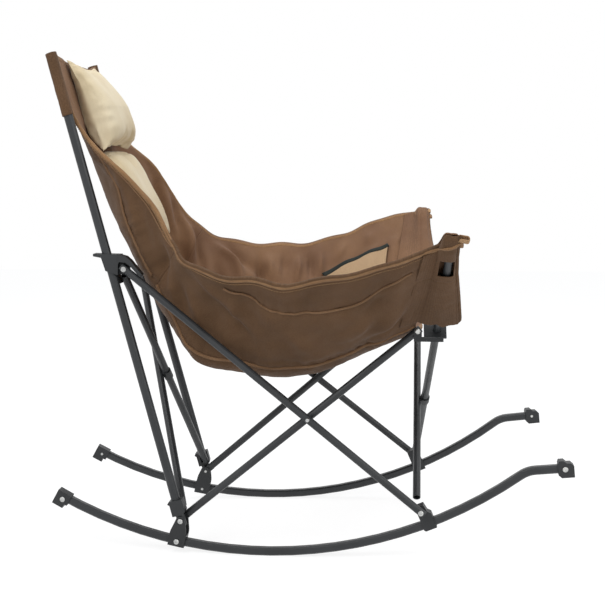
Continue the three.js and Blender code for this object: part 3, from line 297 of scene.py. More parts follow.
def along(points, t):
    """A smooth line through the points, with t counted in points."""
    points = np.asarray(points, float)
    end = len(points) - 1
    ext = np.vstack([2 * points[0] - points[1], points, 2 * points[-1] - points[-2]])
    t = np.clip(np.asarray(t, float), 0, end)
    i = np.minimum(np.floor(t).astype(int), end - 1)
    f = (t - i)[:, None]
    a, b, c, d = ext[i], ext[i + 1], ext[i + 2], ext[i + 3]
    return (b * (2 * f**3 - 3 * f**2 + 1) + (c - a) * .5 * (f**3 - 2 * f**2 + f)
            + c * (-2 * f**3 + 3 * f**2) + (d - b) * .5 * (f**3 - f**2))


# where the lines' own frame starts, and its length, half width and height, in metres
lines_start, lines_size = (-.52506, 0, -.00023), (.8, .494, 1.041)


def placed(rows, station):
    """One of the lines above, in metres."""
    rows = np.asarray(rows, float)
    wide = rows[:, 2] if rows.shape[1] > 2 else np.zeros(len(rows))
    inside_frame = np.stack([rows[:, 0], wide, rows[:, 1]], 1)
    return along(inside_frame * lines_size + lines_start, station)


# %% A point on the sling
def paired(station, share):
    """Stations and shares as two rows of the same length."""
    rows = (np.atleast_1d(np.asarray(x, float)) for x in (station, share))
    return (x.ravel() for x in np.broadcast_arrays(*rows))


def steps_of(line):
    """The length of each step along a line of points."""
    return np.linalg.norm(np.diff(line, axis=0), axis=1)


def directions(ways):
    """Ways made one metre long."""
    return ways / np.linalg.norm(ways, axis=1)[:, None]


def on_sling(station, share):
    """Points in the middle of the cloth's thickness, in metres."""
    station, share = paired(station, share)
    left = (share >= 0)[:, None]
    middle = placed(middle_line, station)
    right_edge = [*edge_line[:-1], (.927, .466, .4615)]
    edge = np.where(left, placed(edge_line, station), placed(right_edge, station))
    rim = np.where(left, placed(left_rim, station), placed(right_rim, station))
    sag = along(np.array(wall_sag)[:, None], station)[:, 0]
    # the rims ride up and down a little between the places that hold them
    rim[:, 2] += .0026 * np.sin(station * 4.3) * unit(station - 4) * unit((13.2 - station) / 2)
    inner = middle * .78 + edge * .22
    inner[:, 1] = edge[:, 1] / 2
    wall = (edge + rim) / 2
    wall[:, 1] += sag * (rim[:, 1] - edge[:, 1])
    flip = np.array([1, -1, 1.0])
    row = [edge * flip, inner * flip, middle, inner, edge, wall, rim]
    row = np.stack([2 * row[0] - row[1], *row, 2 * row[-1] - row[-2]], 1)
    t = np.minimum(2 + 4 * np.abs(share), 6)
    i = np.minimum(np.floor(t).astype(int), 5)
    f = (t - i)[:, None]
    k = np.arange(len(t))
    a, b, c, d = row[k, i], row[k, i + 1], row[k, i + 2], row[k, i + 3]
    ab, bc, cd = (np.maximum(((q - p)**2).sum(1)**.25, 1e-5)[:, None] for p, q in ((a, b), (b, c), (c, d)))
    m1 = ((b - a) / ab - (c - a) / (ab + bc) + (c - b) / bc) * bc
    m2 = ((c - b) / bc - (d - b) / (bc + cd) + (d - c) / cd) * bc
    out = (b * (2 * f**3 - 3 * f**2 + 1) + m1 * (f**3 - 2 * f**2 + f)
           + c * (-2 * f**3 + 3 * f**2) + m2 * (f**3 - f**2))
    out[:, 1] *= np.where(left[:, 0], 1, -1)
    return out


def facing(station, share):
    """The way out of the cloth towards the sitter."""
    station, share = paired(station, share)
    step = .02
    ahead, behind = (np.clip(station + d, 0, last_station) for d in (step, -step))
    more, less = (np.clip(share + d, -1, 1) for d in (step, -step))
    along_it = on_sling(ahead, share) - on_sling(behind, share)
    across_it = on_sling(station, more) - on_sling(station, less)
    return directions(np.cross(along_it, across_it))


print("sling: top of back at", on_sling(0, 0)[0].round(3), "front edge at", on_sling(14, 0)[0].round(3))

# %% [markdown]
# ## Cloth finishes
# Three cloths meet here: a brown outer weave, the same weave seen lit on the inside, and a beige
# brushed cloth on the pads. Coarse tent cloth has threads a good millimetre apart. Two crossed bands
# of a Wave texture make the weave, read on a map that is laid out in real metres of cloth, so the
# threads keep one size and bend with the panel. The brushed cloth's nap is fine noise.

# %% A woven finish
def shaded(tree, shader, colour, factor):
    """The base colour, made lighter or darker by a factor."""
    tone = add(tree, "ShaderNodeVectorMath", {0: colour, "Scale": factor}, operation="SCALE")
    tree.links.new(tone.outputs[0], shader.inputs["Base Color"])


wave_pitch = .31416     # a Wave texture of scale 1 repeats after this length


def woven(name, dark, light, sheen, where="UV", thread=.0013, bump=.35):
    """Plain weave: colour drifts slowly, threads differ, and the crossings are raised."""
    material, tree, shader = new_finish(name, dark, .85, Sheen_Weight=sheen, Sheen_Roughness=.5,
                                        Specular_IOR_Level=.25)
    spot = add(tree, "ShaderNodeTexCoord").outputs[where]
    scale = wave_pitch / (2 * thread)
    bands = {"Vector": spot, "Scale": scale, "Distortion": .4, "Detail": 1.0, "Detail Scale": .02}
    warp = add(tree, "ShaderNodeTexWave", bands, bands_direction="X")
    weft = add(tree, "ShaderNodeTexWave", bands, bands_direction="Y" if where == "UV" else "Z")
    threads = calc(tree, "MULTIPLY", warp.outputs["Fac"], weft.outputs["Fac"])
    bumped(tree, shader, threads, bump, .0004)
    fleck = mapped(tree, cloud(tree, spot, 420, 2.0), .3, .7, .80, 1.14)
    gaps = mapped(tree, threads, 0, .6, .84, 1.05)
    shaded(tree, shader, blotch(tree, spot, 7, dark, light, 4), calc(tree, "MULTIPLY", fleck, gaps))
    rough_drift(tree, shader, spot, 30, .72, .9)
    return material


brown_outside = woven("brown_tent_cloth", srgb("5c432d"), srgb("6b4f37"), sheen=.04)
brown_inside = woven("brown_inner_cloth", srgb("775740"), srgb("876549"), sheen=.06)
brown_sleeve = woven("brown_sleeve_cloth", srgb("5e452f"), srgb("6d5139"), where="Object", sheen=.04)
tape_weave = woven("tan_binding_tape", srgb("8a6746"), srgb("9c7853"), thread=.0009, bump=.5, sheen=.08)
piping_weave = woven("brown_piping", srgb("76573c"), srgb("87674a"), thread=.0009, bump=.4, sheen=.05)
tape_loop_weave = woven("tan_loop_tape", srgb("b08a62"), srgb("c29f78"), thread=.0009, bump=.5, sheen=.1)


def brushed(name, dark, light):
    """Short soft nap: fine noise for the hairs, and a slow drift where it has been stroked."""
    material, tree, shader = new_finish(name, light, .9, Sheen_Weight=.2, Sheen_Roughness=.4,
                                        Specular_IOR_Level=.2)
    spot = add(tree, "ShaderNodeTexCoord").outputs["Object"]
    hairs = cloud(tree, spot, 900, 3.0, Roughness=.65)
    shaded(tree, shader, blotch(tree, spot, 11, dark, light, 5), mapped(tree, hairs, .3, .7, .90, 1.05))
    rough_drift(tree, shader, spot, 25, .82, .95)
    bumped(tree, shader, hairs, .35, .0005)
    return material


beige_brushed = brushed("beige_brushed_cloth", srgb("d8c6a2"), srgb("e6d8ba"))
dark_tape = woven("dark_hem_tape", srgb("1e221f"), srgb("2b302c"), thread=.0009, bump=.5, sheen=.04)


# %% [markdown]
# ## Seams, folds and gathers
# A sewn seam pulls the cloth in along a line, and the spare cloth on both sides of it puckers. A
# fold is a soft ridge from a place that pulls to a place that hangs. Both could be sculpted by hand.
# Here each is a path on the sling, and a point near it is raised or sunk by how far away it is.

# %% How far from a path
fold_strength = 1.45      # deepens every fold alike


def path_on(way, samples):
    """Station and share pairs, made into evenly spread pairs."""
    way = np.asarray(way, float)
    return along(way, np.linspace(0, len(way) - 1, samples))


def near(points, line):
    """Distance to a line, and the length along it, for each point."""
    best = np.full(len(points), 9.0)
    gone = np.zeros(len(points))
    run = 0.0
    for p, q in zip(line[:-1], line[1:]):
        d = q - p
        size = float(np.dot(d, d)) or 1e-12
        t = unit(((points - p) @ d) / size)
        off = np.linalg.norm(points - p - t[:, None] * d, axis=1)
        closer = off < best
        best[closer] = off[closer]
        gone[closer] = run + t[closer] * math.sqrt(size)
        run += math.sqrt(size)
    return best, gone


def from_way(points, way, samples):
    """How far each point is from a path on the sling, the length along it, and the whole length."""
    line = on_sling(*path_on(way, samples).T)
    return (*near(points, line), steps_of(line).sum())


def seam(points, way, depth, width, pucker, pitch, reach):
    """A stitched line that sinks, with small puckers beside it."""
    off, gone, _ = from_way(points, way, 60)
    wave = np.sin(gone * math.tau / pitch + 1.7 * np.sin(gone * 31)) * (.7 + .3 * np.sin(gone * 47))
    groove = bell(off, 0, width)
    return pucker * wave * np.exp(-off / reach) * (1 - groove) - depth * groove


def fold(points, way, height, width):
    """A soft ridge that fades out at both ends."""
    off, gone, whole = from_way(points, way, 24)
    fade = np.sin(unit(gone / whole) * math.pi)**1.6
    return fold_strength * height * fade * bell(off, 0, width)


def crumple(points, size, seed):
    """Smooth random height from -1 to 1 at a given size."""
    return np.array([noise.noise(Vector((x / size + seed, y / size, z / size))) for x, y, z in points])


# %% [markdown]
# ## The panels of the sling
# The back and the seat are one padded cloth, but they are made as two panels that meet at the fold
# line, because the seat turns up when the chair folds. Each panel begins as a flat grid in station
# and share, is thickened while it is flat, and then every point is moved to its place on the sling.

# %% Read and place the vertices of a bmesh
def corners_of(bm):
    """The place of every vertex, as rows of numbers."""
    return np.array([v.co for v in bm.verts])


def put_all(bm, places):
    """Moves every vertex to its new place."""
    for vertex, spot in zip(bm.verts, places):
        vertex.co = spot


def finished(name, bm, *cloths):
    """Turns the faces outwards and makes the object, with its finishes."""
    bmesh.ops.recalc_face_normals(bm, faces=bm.faces[:])
    obj = mesh_object(name, bm)
    for cloth in cloths:
        obj.data.materials.append(cloth)
    return obj


# %% Make one panel
front_border, top_border = 14.0, .4     # stations where the cloth is held flat


def inside_borders(station):
    """1 over most of the cloth, and 0 at its front and top borders."""
    return unit((front_border - station) / .9) * unit((station - top_border) / .8)


def puffed(station_part, share):
    """Thickness of the padding: thin at the borders and full in the middle."""
    across = unit((share + 1) / 2)
    return .006 + .005 * np.sqrt(np.sin(np.pi * across)) * (.6 + .4 * np.sin(np.pi * station_part))


def gather(station, share):
    """Slack cloth in the side walls, in broad ripples."""
    wall = np.maximum(0, np.abs(share) - .45) * np.maximum(0, 1 - np.abs(share)) * 8
    return .0045 * wall * unit(station - 5.5) * np.sin(6.3 * station)


least_half = .0006     # each face keeps this from the cloth's middle, however deep a seam is


def panel(name, first, last, cells, outside, inside):
    """A closed padded cloth between two stations, with its own relief on each face."""
    bm = bmesh.new()
    bmesh.ops.create_grid(bm, x_segments=cells[0], y_segments=cells[1], size=.5)
    bmesh.ops.solidify(bm, geom=bm.faces[:], thickness=1)
    flat = corners_of(bm)
    top = flat[:, 2] > (flat[:, 2].min() + flat[:, 2].max()) / 2
    station = first + (flat[:, 0] + .5) * (last - first)
    share = flat[:, 1] * 2
    middle = on_sling(station, share)
    out = facing(station, share)
    thick = puffed(flat[:, 0] + .5, share) / 2
    relief = np.where(top, inside(station, share, middle), outside(station, share, middle))
    fade = unit((1 - np.abs(share)) * 14)
    way = np.where(top, 1, -1)
    relief = np.maximum(relief * fade, least_half - thick)
    # the inner face of the front corners takes the darker outer cloth: painted shade where the brackets
    # stand over them
    painted_shade_corners = (station > 13.3) & (np.abs(np.abs(share) - .5) < .11)
    bm.verts.index_update()
    for face in bm.faces:
        held = [v.index for v in face.verts]
        face.material_index = 0 if top[held].all() and not painted_shade_corners[held].all() else 1
    shift = gather(station, share) + drape(station, share, middle) + way * (thick + relief)
    put_all(bm, middle + out * shift[:, None])
    obj = finished(name, bm, brown_inside, brown_outside)
    lay_out(obj, station, share)
    return obj


def lay_out(obj, station, share):
    """A map in metres of cloth: length along the panel, and width from the middle."""
    rows, half = 56, 20
    s_steps, h_steps = np.linspace(0, last_station, rows + 1), np.linspace(-1, 1, 2 * half + 1)
    grid = on_sling(*np.meshgrid(s_steps, h_steps, indexing="ij")).reshape(rows + 1, 2 * half + 1, 3)
    down = np.linalg.norm(np.diff(grid, axis=0), axis=2).cumsum(0)
    over = np.linalg.norm(np.diff(grid, axis=1), axis=2).cumsum(1)
    down, over = np.pad(down, ((1, 0), (0, 0))), np.pad(over, ((0, 0), (1, 0)))
    over -= over[:, half:half + 1]

    def read(table):
        i = np.clip(station / last_station * rows, 0, rows - .001)
        j = np.clip((share + 1) * half, 0, 2 * half - .001)
        a, b = i.astype(int), j.astype(int)
        f, g = i - a, j - b
        return ((table[a, b] * (1 - f) + table[a + 1, b] * f) * (1 - g)
                + (table[a, b + 1] * (1 - f) + table[a + 1, b + 1] * f) * g)

    per_point = np.stack([read(over), read(down)], 1)
    layer = obj.data.uv_layers.new(name="cloth_map")
    index = np.zeros(len(obj.data.loops), int)
    obj.data.loops.foreach_get("vertex_index", index)
    layer.data.foreach_set("uv", per_point[index].astype(np.float32).ravel())


# %% Relief of the outside
wing_way = ((3.0, .93), (3.4, .925), (3.9, .925), (4.4, .925), (5.0, .93), (5.6, .95), (6.1, .97))
piping_way = ((3.1, .93), (3.28, .86), (3.5, .70), (3.7, .585), (4.05, .532), (4.9, .53), (5.6, .53),
              (6.28, .545), (7.05, .523), (7.62, .515), (8.0, .536), (8.97, .541), (10.35, .535),
              (11.95, .525), (13.62, .541), (14, .541))
pocket_way = ((8.35, .94), (8.6, .925), (9.03, .904), (9.55, .864), (10.12, .843), (11.2, .822),
              (11.85, .843), (12.88, .904), (14, .91))
piping_creases = ((8.2, .57), (9.1, .576), (9.95, .583), (10.5, .56), (10.9, .56), (12.1, .548),
                  (13.1, .57), (13.8, .56))
# from a pull point to where the spare cloth hangs: the way, its height and its width in metres
outer_folds = (
    (((7.4, .95), (8.4, .88), (9.05, .80), (9.58, .66)), .008, .018),
    (((8.2, .86), (8.9, .76), (9.5, .66)), -.004, .011),
    (((6.9, .90), (7.6, .76), (8.45, .62)), .007, .016),
    (((6.2, .84), (6.8, .70), (7.3, .58)), .005, .014),
    (((13.6, .80), (12.85, .69), (11.7, .60)), .009, .017),
    (((12.45, .77), (11.6, .68), (11.1, .64)), .007, .014),
    (((13.2, .86), (12.3, .82), (11.5, .74)), -.004, .012),
    (((13.5, .68), (12.8, .61), (12.0, .565)), -.005, .010),
    (((4.2, .90), (4.6, .74), (5.4, .60)), .005, .015),
    (((3.5, .86), (4.2, .72), (5.0, .62)), .004, .014),
    (((9.9, .78), (10.3, .70), (10.7, .60)), .005, .016),
    (((5.6, .92), (6.2, .79), (6.6, .62)), -.005, .013))


def mirrored(way):
    """The same way on the right-hand side."""
    return tuple((a, -b) for a, b in way)


def outside_relief(station, share, middle):
    """What the outer face does: a padded pocket, three seams each side and a slight unevenness."""
    high = .0024 * crumple(middle, .05, 3.0) + .0008 * crumple(middle, .018, 8.0)
    top = np.interp(station, [p[0] for p in pocket_way], [p[1] for p in pocket_way])
    below = unit((top - np.abs(share)) / (top - .53))
    high += .009 * np.sin(math.pi * below**.7) * unit((station - 8.3) / 1.2) * unit(13.9 - station)
    for turn in (tuple, mirrored):
        high += seam(middle, turn(piping_way), .002, .006, .0022, .026, .03)
        high += seam(middle, turn(pocket_way), .0016, .004, .0008, .03, .012)
        high += seam(middle, turn(wing_way), .0012, .004, .0010, .024, .014)
        high += fold(middle, turn(piping_creases), -.0022, .008)
    return high * inside_borders(station)


# %% Relief of the inside
wall_seam = ((6.0, .5), (7.4, .5), (9.0, .5), (11.0, .5), (13.0, .5), (14, .5))
front_seam = ((13.42, .74), (13.45, .82), (13.7, .90), (14, .94))
inner_folds = (
    (((6.6, .96), (7.3, .91), (7.9, .87), (8.6, .70)), .009, .012),
    (((7.2, .97), (7.9, .91), (8.4, .86)), -.006, .009),
    (((8.4, .97), (8.6, .90), (8.8, .82), (9.0, .66)), -.008, .008),
    (((8.7, .97), (8.95, .88), (9.2, .76)), .006, .010),
    (((9.2, .97), (9.35, .90), (9.5, .80)), -.005, .008),
    (((9.72, .97), (9.8, .88), (9.83, .76)), .008, .010),
    (((10.0, .97), (10.15, .90), (10.25, .78)), -.008, .008),
    (((10.4, .96), (10.45, .88), (10.5, .78)), .006, .009),
    (((11.2, .97), (11.0, .90), (10.85, .84)), .006, .012),
    (((12.1, .96), (12.05, .90), (12.0, .86)), .004, .012),
    (((13.25, .98), (13.25, .92), (13.25, .85)), -.004, .012),
    (((13.4, .80), (13.2, .70), (12.9, .60)), .004, .014),
    (((5.2, .94), (5.9, .80), (6.8, .62)), .009, .016),
    (((5.9, .96), (6.5, .84), (7.2, .68)), -.007, .012),
    (((4.4, .94), (4.9, .80), (5.7, .62)), .007, .014),
    (((4.9, .95), (5.4, .84), (6.1, .68)), -.005, .011))


def inside_relief(station, share, middle):
    """What the inner face does: a seam where each wall meets the seat, and one at the front."""
    high = .0020 * crumple(middle, .045, 21.0) + .0007 * crumple(middle, .016, 27.0)
    for turn in (tuple, mirrored):
        high += seam(middle, turn(wall_seam), .003, .006, .0016, .024, .028)
        high += seam(middle, turn(front_seam), .002, .004, .001, .018, .018)
    return high


# %% Folds that move the whole cloth
def drape(station, share, middle):
    """How far the cloth stands in towards the sitter: a fold shows on both faces.
    The left wall is gathered into deeper pleats than the right one."""
    high = np.zeros(len(middle))
    for turn, pleated in ((tuple, 1.3), (mirrored, .3)):
        for way, height, width in outer_folds:
            high -= fold(middle, turn(way), height, width)
        for way, height, width in inner_folds:
            high += pleated * fold(middle, turn(way), height, width)
    return high * unit((1 - np.abs(share)) * 9) * inside_borders(station)


def belongs(obj, body):
    """The piece rides on a body and gets a mesh of its own."""
    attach(obj, body)
    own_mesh(obj)
    return obj


def on_the_back(obj):
    return belongs(obj, "sling")


def on_the_seat(obj):
    return belongs(obj, "seat")


back_cloth = panel("back_cloth", 0, fold_station, (150, 150), outside_relief, inside_relief)
seat_cloth = panel("seat_cloth", fold_station, last_station, (170, 170), outside_relief, inside_relief)
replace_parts(on_the_back(back_cloth), "back_panel")
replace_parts(on_the_seat(seat_cloth), "seat_bucket")
print("sling panels:", len(back_cloth.data.polygons), "and", len(seat_cloth.data.polygons), "faces")

# %% [markdown]
# ## Tape and piping
# Every free edge of the sling is bound in a tan tape that is folded over it, and a thin piping runs
# in the outer seams. A bevelled curve would give a round cord. A flat grid rolled round the path
# gives the oval section of a folded tape, and it keeps a clean map for the weave.

# %% Roll a strip round a path
def write_map(bm, over, down):
    """A map in metres of cloth, from two numbers for each vertex."""
    layer = bm.loops.layers.uv.new("cloth_map")
    bm.verts.index_update()
    for face in bm.faces:
        for loop in face.loops:
            loop[layer].uv = (over[loop.vert.index], down[loop.vert.index])


def across_of(line, out):
    """The direction across a strip that lies along a line."""
    return directions(np.cross(np.gradient(line, axis=0), out))


def rolled(name, centre, out, half_out, half_side, finish, around=14, square=.75):
    """A closed strip with an oval section: half_out thick along out, half_side wide across it."""
    count, side = len(centre), across_of(centre, out)
    bm = bmesh.new()
    bmesh.ops.create_grid(bm, x_segments=count - 1, y_segments=around, size=.5)
    flat = corners_of(bm)
    row = np.rint((flat[:, 0] + .5) * (count - 1)).astype(int)
    turned = flat[:, 1] + .5
    c, s = np.cos(turned * math.tau), np.sin(turned * math.tau)
    c, s = np.sign(c) * np.abs(c)**square, np.sign(s) * np.abs(s)**square
    thick, wide = (np.broadcast_to(half, count)[row] for half in (half_out, half_side))
    put_all(bm, centre[row] + out[row] * (thick * c)[:, None] + side[row] * (wide * s)[:, None])
    gone = np.concatenate([[0], steps_of(centre).cumsum()])
    write_map(bm, gone[row], turned * 2 * (thick[0] + wide[0]))
    bmesh.ops.remove_doubles(bm, verts=bm.verts[:], dist=1e-5)
    bmesh.ops.holes_fill(bm, edges=[e for e in bm.edges if e.is_boundary], sides=0)
    return finished(name, bm, finish)


def off_cloth(station, share, face, lift):
    """Points raised by lift from one face of the cloth, 1 or -1, or from its middle, 0. Also the way out."""
    station, share = paired(station, share)
    base, out = on_sling(station, share), facing(station, share)
    part = np.where(station < fold_station, station / fold_station,
                    (station - fold_station) / (last_station - fold_station))
    shift = gather(station, share) + drape(station, share, base) + face * (puffed(part, share) / 2 + lift)
    return base + out * shift[:, None], out


def lifted_line(way, samples, face, lift):
    """The same for points spread evenly along a path."""
    return off_cloth(*path_on(way, samples).T, face, lift)


# %% Binding of the rims
def rim_tape(name, way, samples=120):
    """Tape folded over a free edge: an oval that holds the edge inside it."""
    wobble = 1 + .07 * np.sin(np.linspace(0, samples * .9, samples))
    return rolled(name, *lifted_line(way, samples, 0, 0), .0042 * wobble, .0048, tape_weave)


sides = (("right", mirrored), ("left", tuple))
for tag, turn in sides:
    low = ((0, .985), *((x, .982) for x in range(1, 7)), (fold_station, .982))
    high = ((fold_station, .982), (7, .982), (8, .984), (9, .985), (10, .986), (11, .987), (12, .988),
            (13, .988), (14, .988))
    on_the_back(rim_tape(tag + "_back_rim_tape", turn(low)))
    on_the_seat(rim_tape(tag + "_seat_rim_tape", turn(high), 150))
front_tape = rim_tape("front_edge_tape", tuple((13.96, x) for x in np.linspace(-.47, .47, 25)))
on_the_seat(front_tape)
top_tape = rim_tape("top_edge_tape", tuple((.06, x) for x in np.linspace(-.985, .985, 15)), 90)
on_the_back(top_tape)

# %% Piping in the outer seams
def piping(name, way, samples, radius, lift=-.0004):
    """A thin round cord on the outer face."""
    line = lifted_line(way, samples, -1, lift)
    return rolled(name, *line, radius, radius * 1.15, piping_weave, around=10, square=1.0)


def cut_way(way, low, high):
    """The part of a way between two stations."""
    pairs = path_on(way, 200)
    return tuple(map(tuple, pairs[(pairs[:, 0] >= low) & (pairs[:, 0] <= high)][::6]))


for tag, turn in sides:
    on_the_back(piping(tag + "_back_piping", turn(cut_way(piping_way, 3.1, 6.36)), 80, .0026))
    on_the_back(piping(tag + "_wing_hem", turn(wing_way), 50, .0015, .0004))
    on_the_seat(piping(tag + "_seat_piping", turn(cut_way(piping_way, 6.33, 14)), 120, .0034))
    on_the_seat(piping(tag + "_pocket_hem", turn(cut_way(pocket_way, 8.35, 13.3)), 90, .0022, .0012))
print("tapes and piping made")

# %% [markdown]
# ## Stitching
# A lockstitch shows as short dashes of thread. Each dash could be its own small piece. One thin
# thread that dives in and out of the cloth along the seam looks the same and is a single mesh.

# %% A thread that dives through the cloth
thread_finish = woven("tan_thread", srgb("9a7650"), srgb("ab8860"), thread=.0006, bump=.3, sheen=.05)


def stitches(name, way, face=-1, lift=.0006, pitch=.0055, radius=.00042):
    """One thread on a face of the cloth, with a dive at every stitch."""
    length = steps_of(on_sling(*path_on(way, 400).T)).sum()
    samples = int(length / pitch * 8)
    line, out = lifted_line(way, samples, face, lift)
    phase = np.linspace(0, length / pitch * math.tau, samples)
    line = line + out * (face * .0007 * np.cos(phase))[:, None]
    return rolled(name, line, out, radius, radius * 1.2, thread_finish, around=6, square=1.0)


for tag, turn in sides:
    back_run = tuple((x, .962) for x in np.linspace(.3, 6.3, 13))
    seat_run = tuple((x, .970) for x in np.linspace(6.4, 13.4, 15))
    on_the_back(stitches(tag + "_back_rim_stitches", turn(back_run)))
    on_the_seat(stitches(tag + "_seat_rim_stitches", turn(seat_run)))
print("stitches made")

# %% [markdown]
# ## Head pillow and lumbar pad
# Two pads of beige brushed cloth are sewn to the back: a small pillow at the top edge and a wide
# lumbar pad. Their solids have the right place and size but no life. A copy of each is remeshed to
# even faces and blown up a little by a cloth simulation, which gives the crown and the corners that
# stuffing gives. The seams come afterwards, because the remesh would wipe them out.

# %% Blow up a copy of a solid
def soft_copy(node, name, voxel):
    """A merged and evenly remeshed copy of a solid."""
    obj = bpy.data.objects.new(name, nodes[node].data.copy())
    scene.collection.objects.link(obj)
    obj.data.materials.clear()
    bm = bmesh.new()
    bm.from_mesh(obj.data)
    bmesh.ops.remove_doubles(bm, verts=bm.verts[:], dist=1e-5)
    bm.to_mesh(obj.data)
    bm.free()
    change = obj.modifiers.new("even_faces", "REMESH")
    change.mode, change.voxel_size = "VOXEL", voxel
    return applied(obj)


def applied(obj):
    """The object with its modifiers made real."""
    graph = bpy.context.evaluated_depsgraph_get()
    mesh = bpy.data.meshes.new_from_object(obj.evaluated_get(graph), depsgraph=graph)
    obj.modifiers.clear()
    obj.data = mesh
    mesh.polygons.foreach_set("use_smooth", [True] * len(mesh.polygons))
    return obj


def per_vertex(obj, what="co"):
    """The place (co) or the way out (normal) of each vertex."""
    flat = np.zeros(len(obj.data.vertices) * 3)
    obj.data.vertices.foreach_get(what, flat)
    return flat.reshape(-1, 3)


def move_to(obj, points):
    obj.data.vertices.foreach_set("co", np.ascontiguousarray(points).ravel())
    obj.data.update()


def inflated(obj, cap, pressure=4.0, frames=20):
    """Blows the cloth up, but no point moves further than cap."""
    start = per_vertex(obj)
    cloth = obj.modifiers.new("stuffing", "CLOTH")
    cloth.settings.use_pressure = True
    cloth.settings.uniform_pressure_force = pressure
    cloth.settings.effector_weights.gravity = 0
    for frame_number in range(1, frames + 1):
        scene.frame_set(frame_number)
    applied(obj)
    scene.frame_set(1)
    moved = per_vertex(obj) - start
    size = np.linalg.norm(moved, axis=1)
    move_to(obj, start + moved * np.minimum(1, cap / np.maximum(size, 1e-9))[:, None])
    print(obj.name, "blown up by up to", round(float(size.max()) * 1000, 1), "mm, kept to", cap * 1000)
    finer = obj.modifiers.new("finer", "SUBSURF")
    finer.levels = finer.render_levels = 1
    return applied(obj)


# %% Shape a pad
def on_pad(points, middle, long_way, wide_way, long_half, wide_half):
    """Each point's share of the way to the pad's ends and to its sides."""
    return (points - middle) @ long_way / long_half, (points - middle) @ wide_way / wide_half


# where a pad's seam and its puckers lie on the way to its rim, and how wide they are
pad_seam, pad_puckers = (.90, .03), (.82, .10)


def pad_relief(obj, middle, long_way, long_half, wide_half, depth, pucker, seed):
    """Sinks a seam round the rim of a pad and puckers the cloth beside it."""
    points, out = per_vertex(obj), per_vertex(obj, "normal")
    u, v = on_pad(points, middle, long_way, across_way, long_half, wide_half)
    edge = np.maximum(np.abs(u), np.abs(v))
    gone = np.where(np.abs(u) > np.abs(v), v * wide_half, u * long_half)
    ring = bell(edge, *pad_seam)
    wave = np.sin(gone * math.tau / .031 + 3 * np.sin(gone * 23) + seed)
    wave *= (.5 + .5 * np.sin(gone * 57 + seed)) * bell(edge, *pad_puckers)
    uneven = .0030 * crumple(points, .055, seed) * np.clip(edge, .2, 1)
    move_to(obj, points + out * (pucker * wave - depth * ring + uneven)[:, None])


def tapered(obj, middle, long_way, front_way, long_half, back, thin_from, thin):
    """Draws the pad's thickness together towards its top, where it is sewn into the edge."""
    points = per_vertex(obj)
    u, w = on_pad(points, middle, long_way, front_way, long_half, 1)
    keep = 1 - thin * unit((u - thin_from) / (1 - thin_from))**1.3
    keep *= 1 - .25 * unit((-u - .75) / .25)**2
    move_to(obj, points + front_way * ((w - back) * (keep - 1))[:, None])


def stuffed(node, name, long_way, front_way, halves, back, taper, seam_depth, pucker, seed, droop=None):
    """A whole pad: blown up, tapered, drooped and seamed."""
    low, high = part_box(node)
    middle = np.array((low + high) / 2)
    pad = inflated(soft_copy(node, name, .005), .006)
    tapered(pad, middle, long_way, front_way, halves[0], back, *taper)
    if droop:
        points = per_vertex(pad)
        move_to(pad, points + droop(on_pad(points, middle, long_way, across_way, *halves)[0][:, None]))
    pad_relief(pad, middle, long_way, *halves, seam_depth, pucker, seed)
    pad.data.materials.append(beige_brushed)
    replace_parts(on_the_back(pad), node)
    return pad


# %% The head pillow
across_way = np.array([0, 1.0, 0])
lean = math.radians(17)
up_way = np.array([-math.sin(lean), 0, math.cos(lean)])
ahead_way = np.array([math.cos(lean), 0, math.sin(lean)])


def hang(u):
    """The pillow's foot sags down and forward, and its head is drawn up to the sewn edge."""
    low_part, high_part = unit((-u - .2) / .8)**1.2, unit((u - .5) / .5)
    return (ahead_way * .006 - up_way * .012) * low_part + (up_way * .004 - ahead_way * .004) * high_part


pillow = stuffed("head_pillow", "pillow_cloth", up_way, ahead_way, (.099, .141), -.020, (-.15, .76),
                 .0016, .0010, 4.0, hang)

# %% The lumbar pad
down_back = on_sling(5.75, 0)[0] - on_sling(3.16, 0)[0]
down_back /= np.linalg.norm(down_back)
lumbar_front = np.cross(down_back, across_way)
lumbar_front *= np.sign(lumbar_front[0])
lumbar = stuffed("lumbar_pad", "lumbar_cloth", -down_back, lumbar_front, (.120, .149), -.040, (-2.0, .30),
                 .0022, .0012, 9.0)
print("pads:", len(pillow.data.polygons), "and", len(lumbar.data.polygons), "faces")

# %% [markdown]
# ## Post sleeves
# Short sleeves of the same tent cloth slip over the tops of the back posts. They are thin, pulled
# tight at the seams and slightly crumpled elsewhere. A fine remesh of each solid keeps it exactly
# where its tube is, and small creases are then pushed in.

# %% Crumpled sleeves
def wears(obj, body, slot_name, *solids):
    """The piece rides on a body and may stand for some solids. The slot name is not used."""
    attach(obj, body)
    if solids:
        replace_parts(obj, *solids)


def post_sleeve(node, voxel=.0016, depth=.0005, narrow=.9):
    """A thin cloth tube: fine faces, small creases, and slimmer than its solid from front to back."""
    obj = soft_copy(node, node + "_cloth", voxel)
    points, out = per_vertex(obj), per_vertex(obj, "normal")
    high = depth * crumple(points, .022, 5.0) + depth * .6 * crumple(points, .009, 11.0)
    points = points + out * high[:, None]
    lean_x = np.polyval(np.polyfit(points[:, 2], points[:, 0], 1), points[:, 2])
    points[:, 0] = lean_x + (points[:, 0] - lean_x) * narrow
    move_to(obj, points)
    obj.data.materials.append(brown_sleeve)
    wears(obj, node, "cloth", node)


post_sleeve("right_post_sleeve")
post_sleeve("left_post_sleeve")

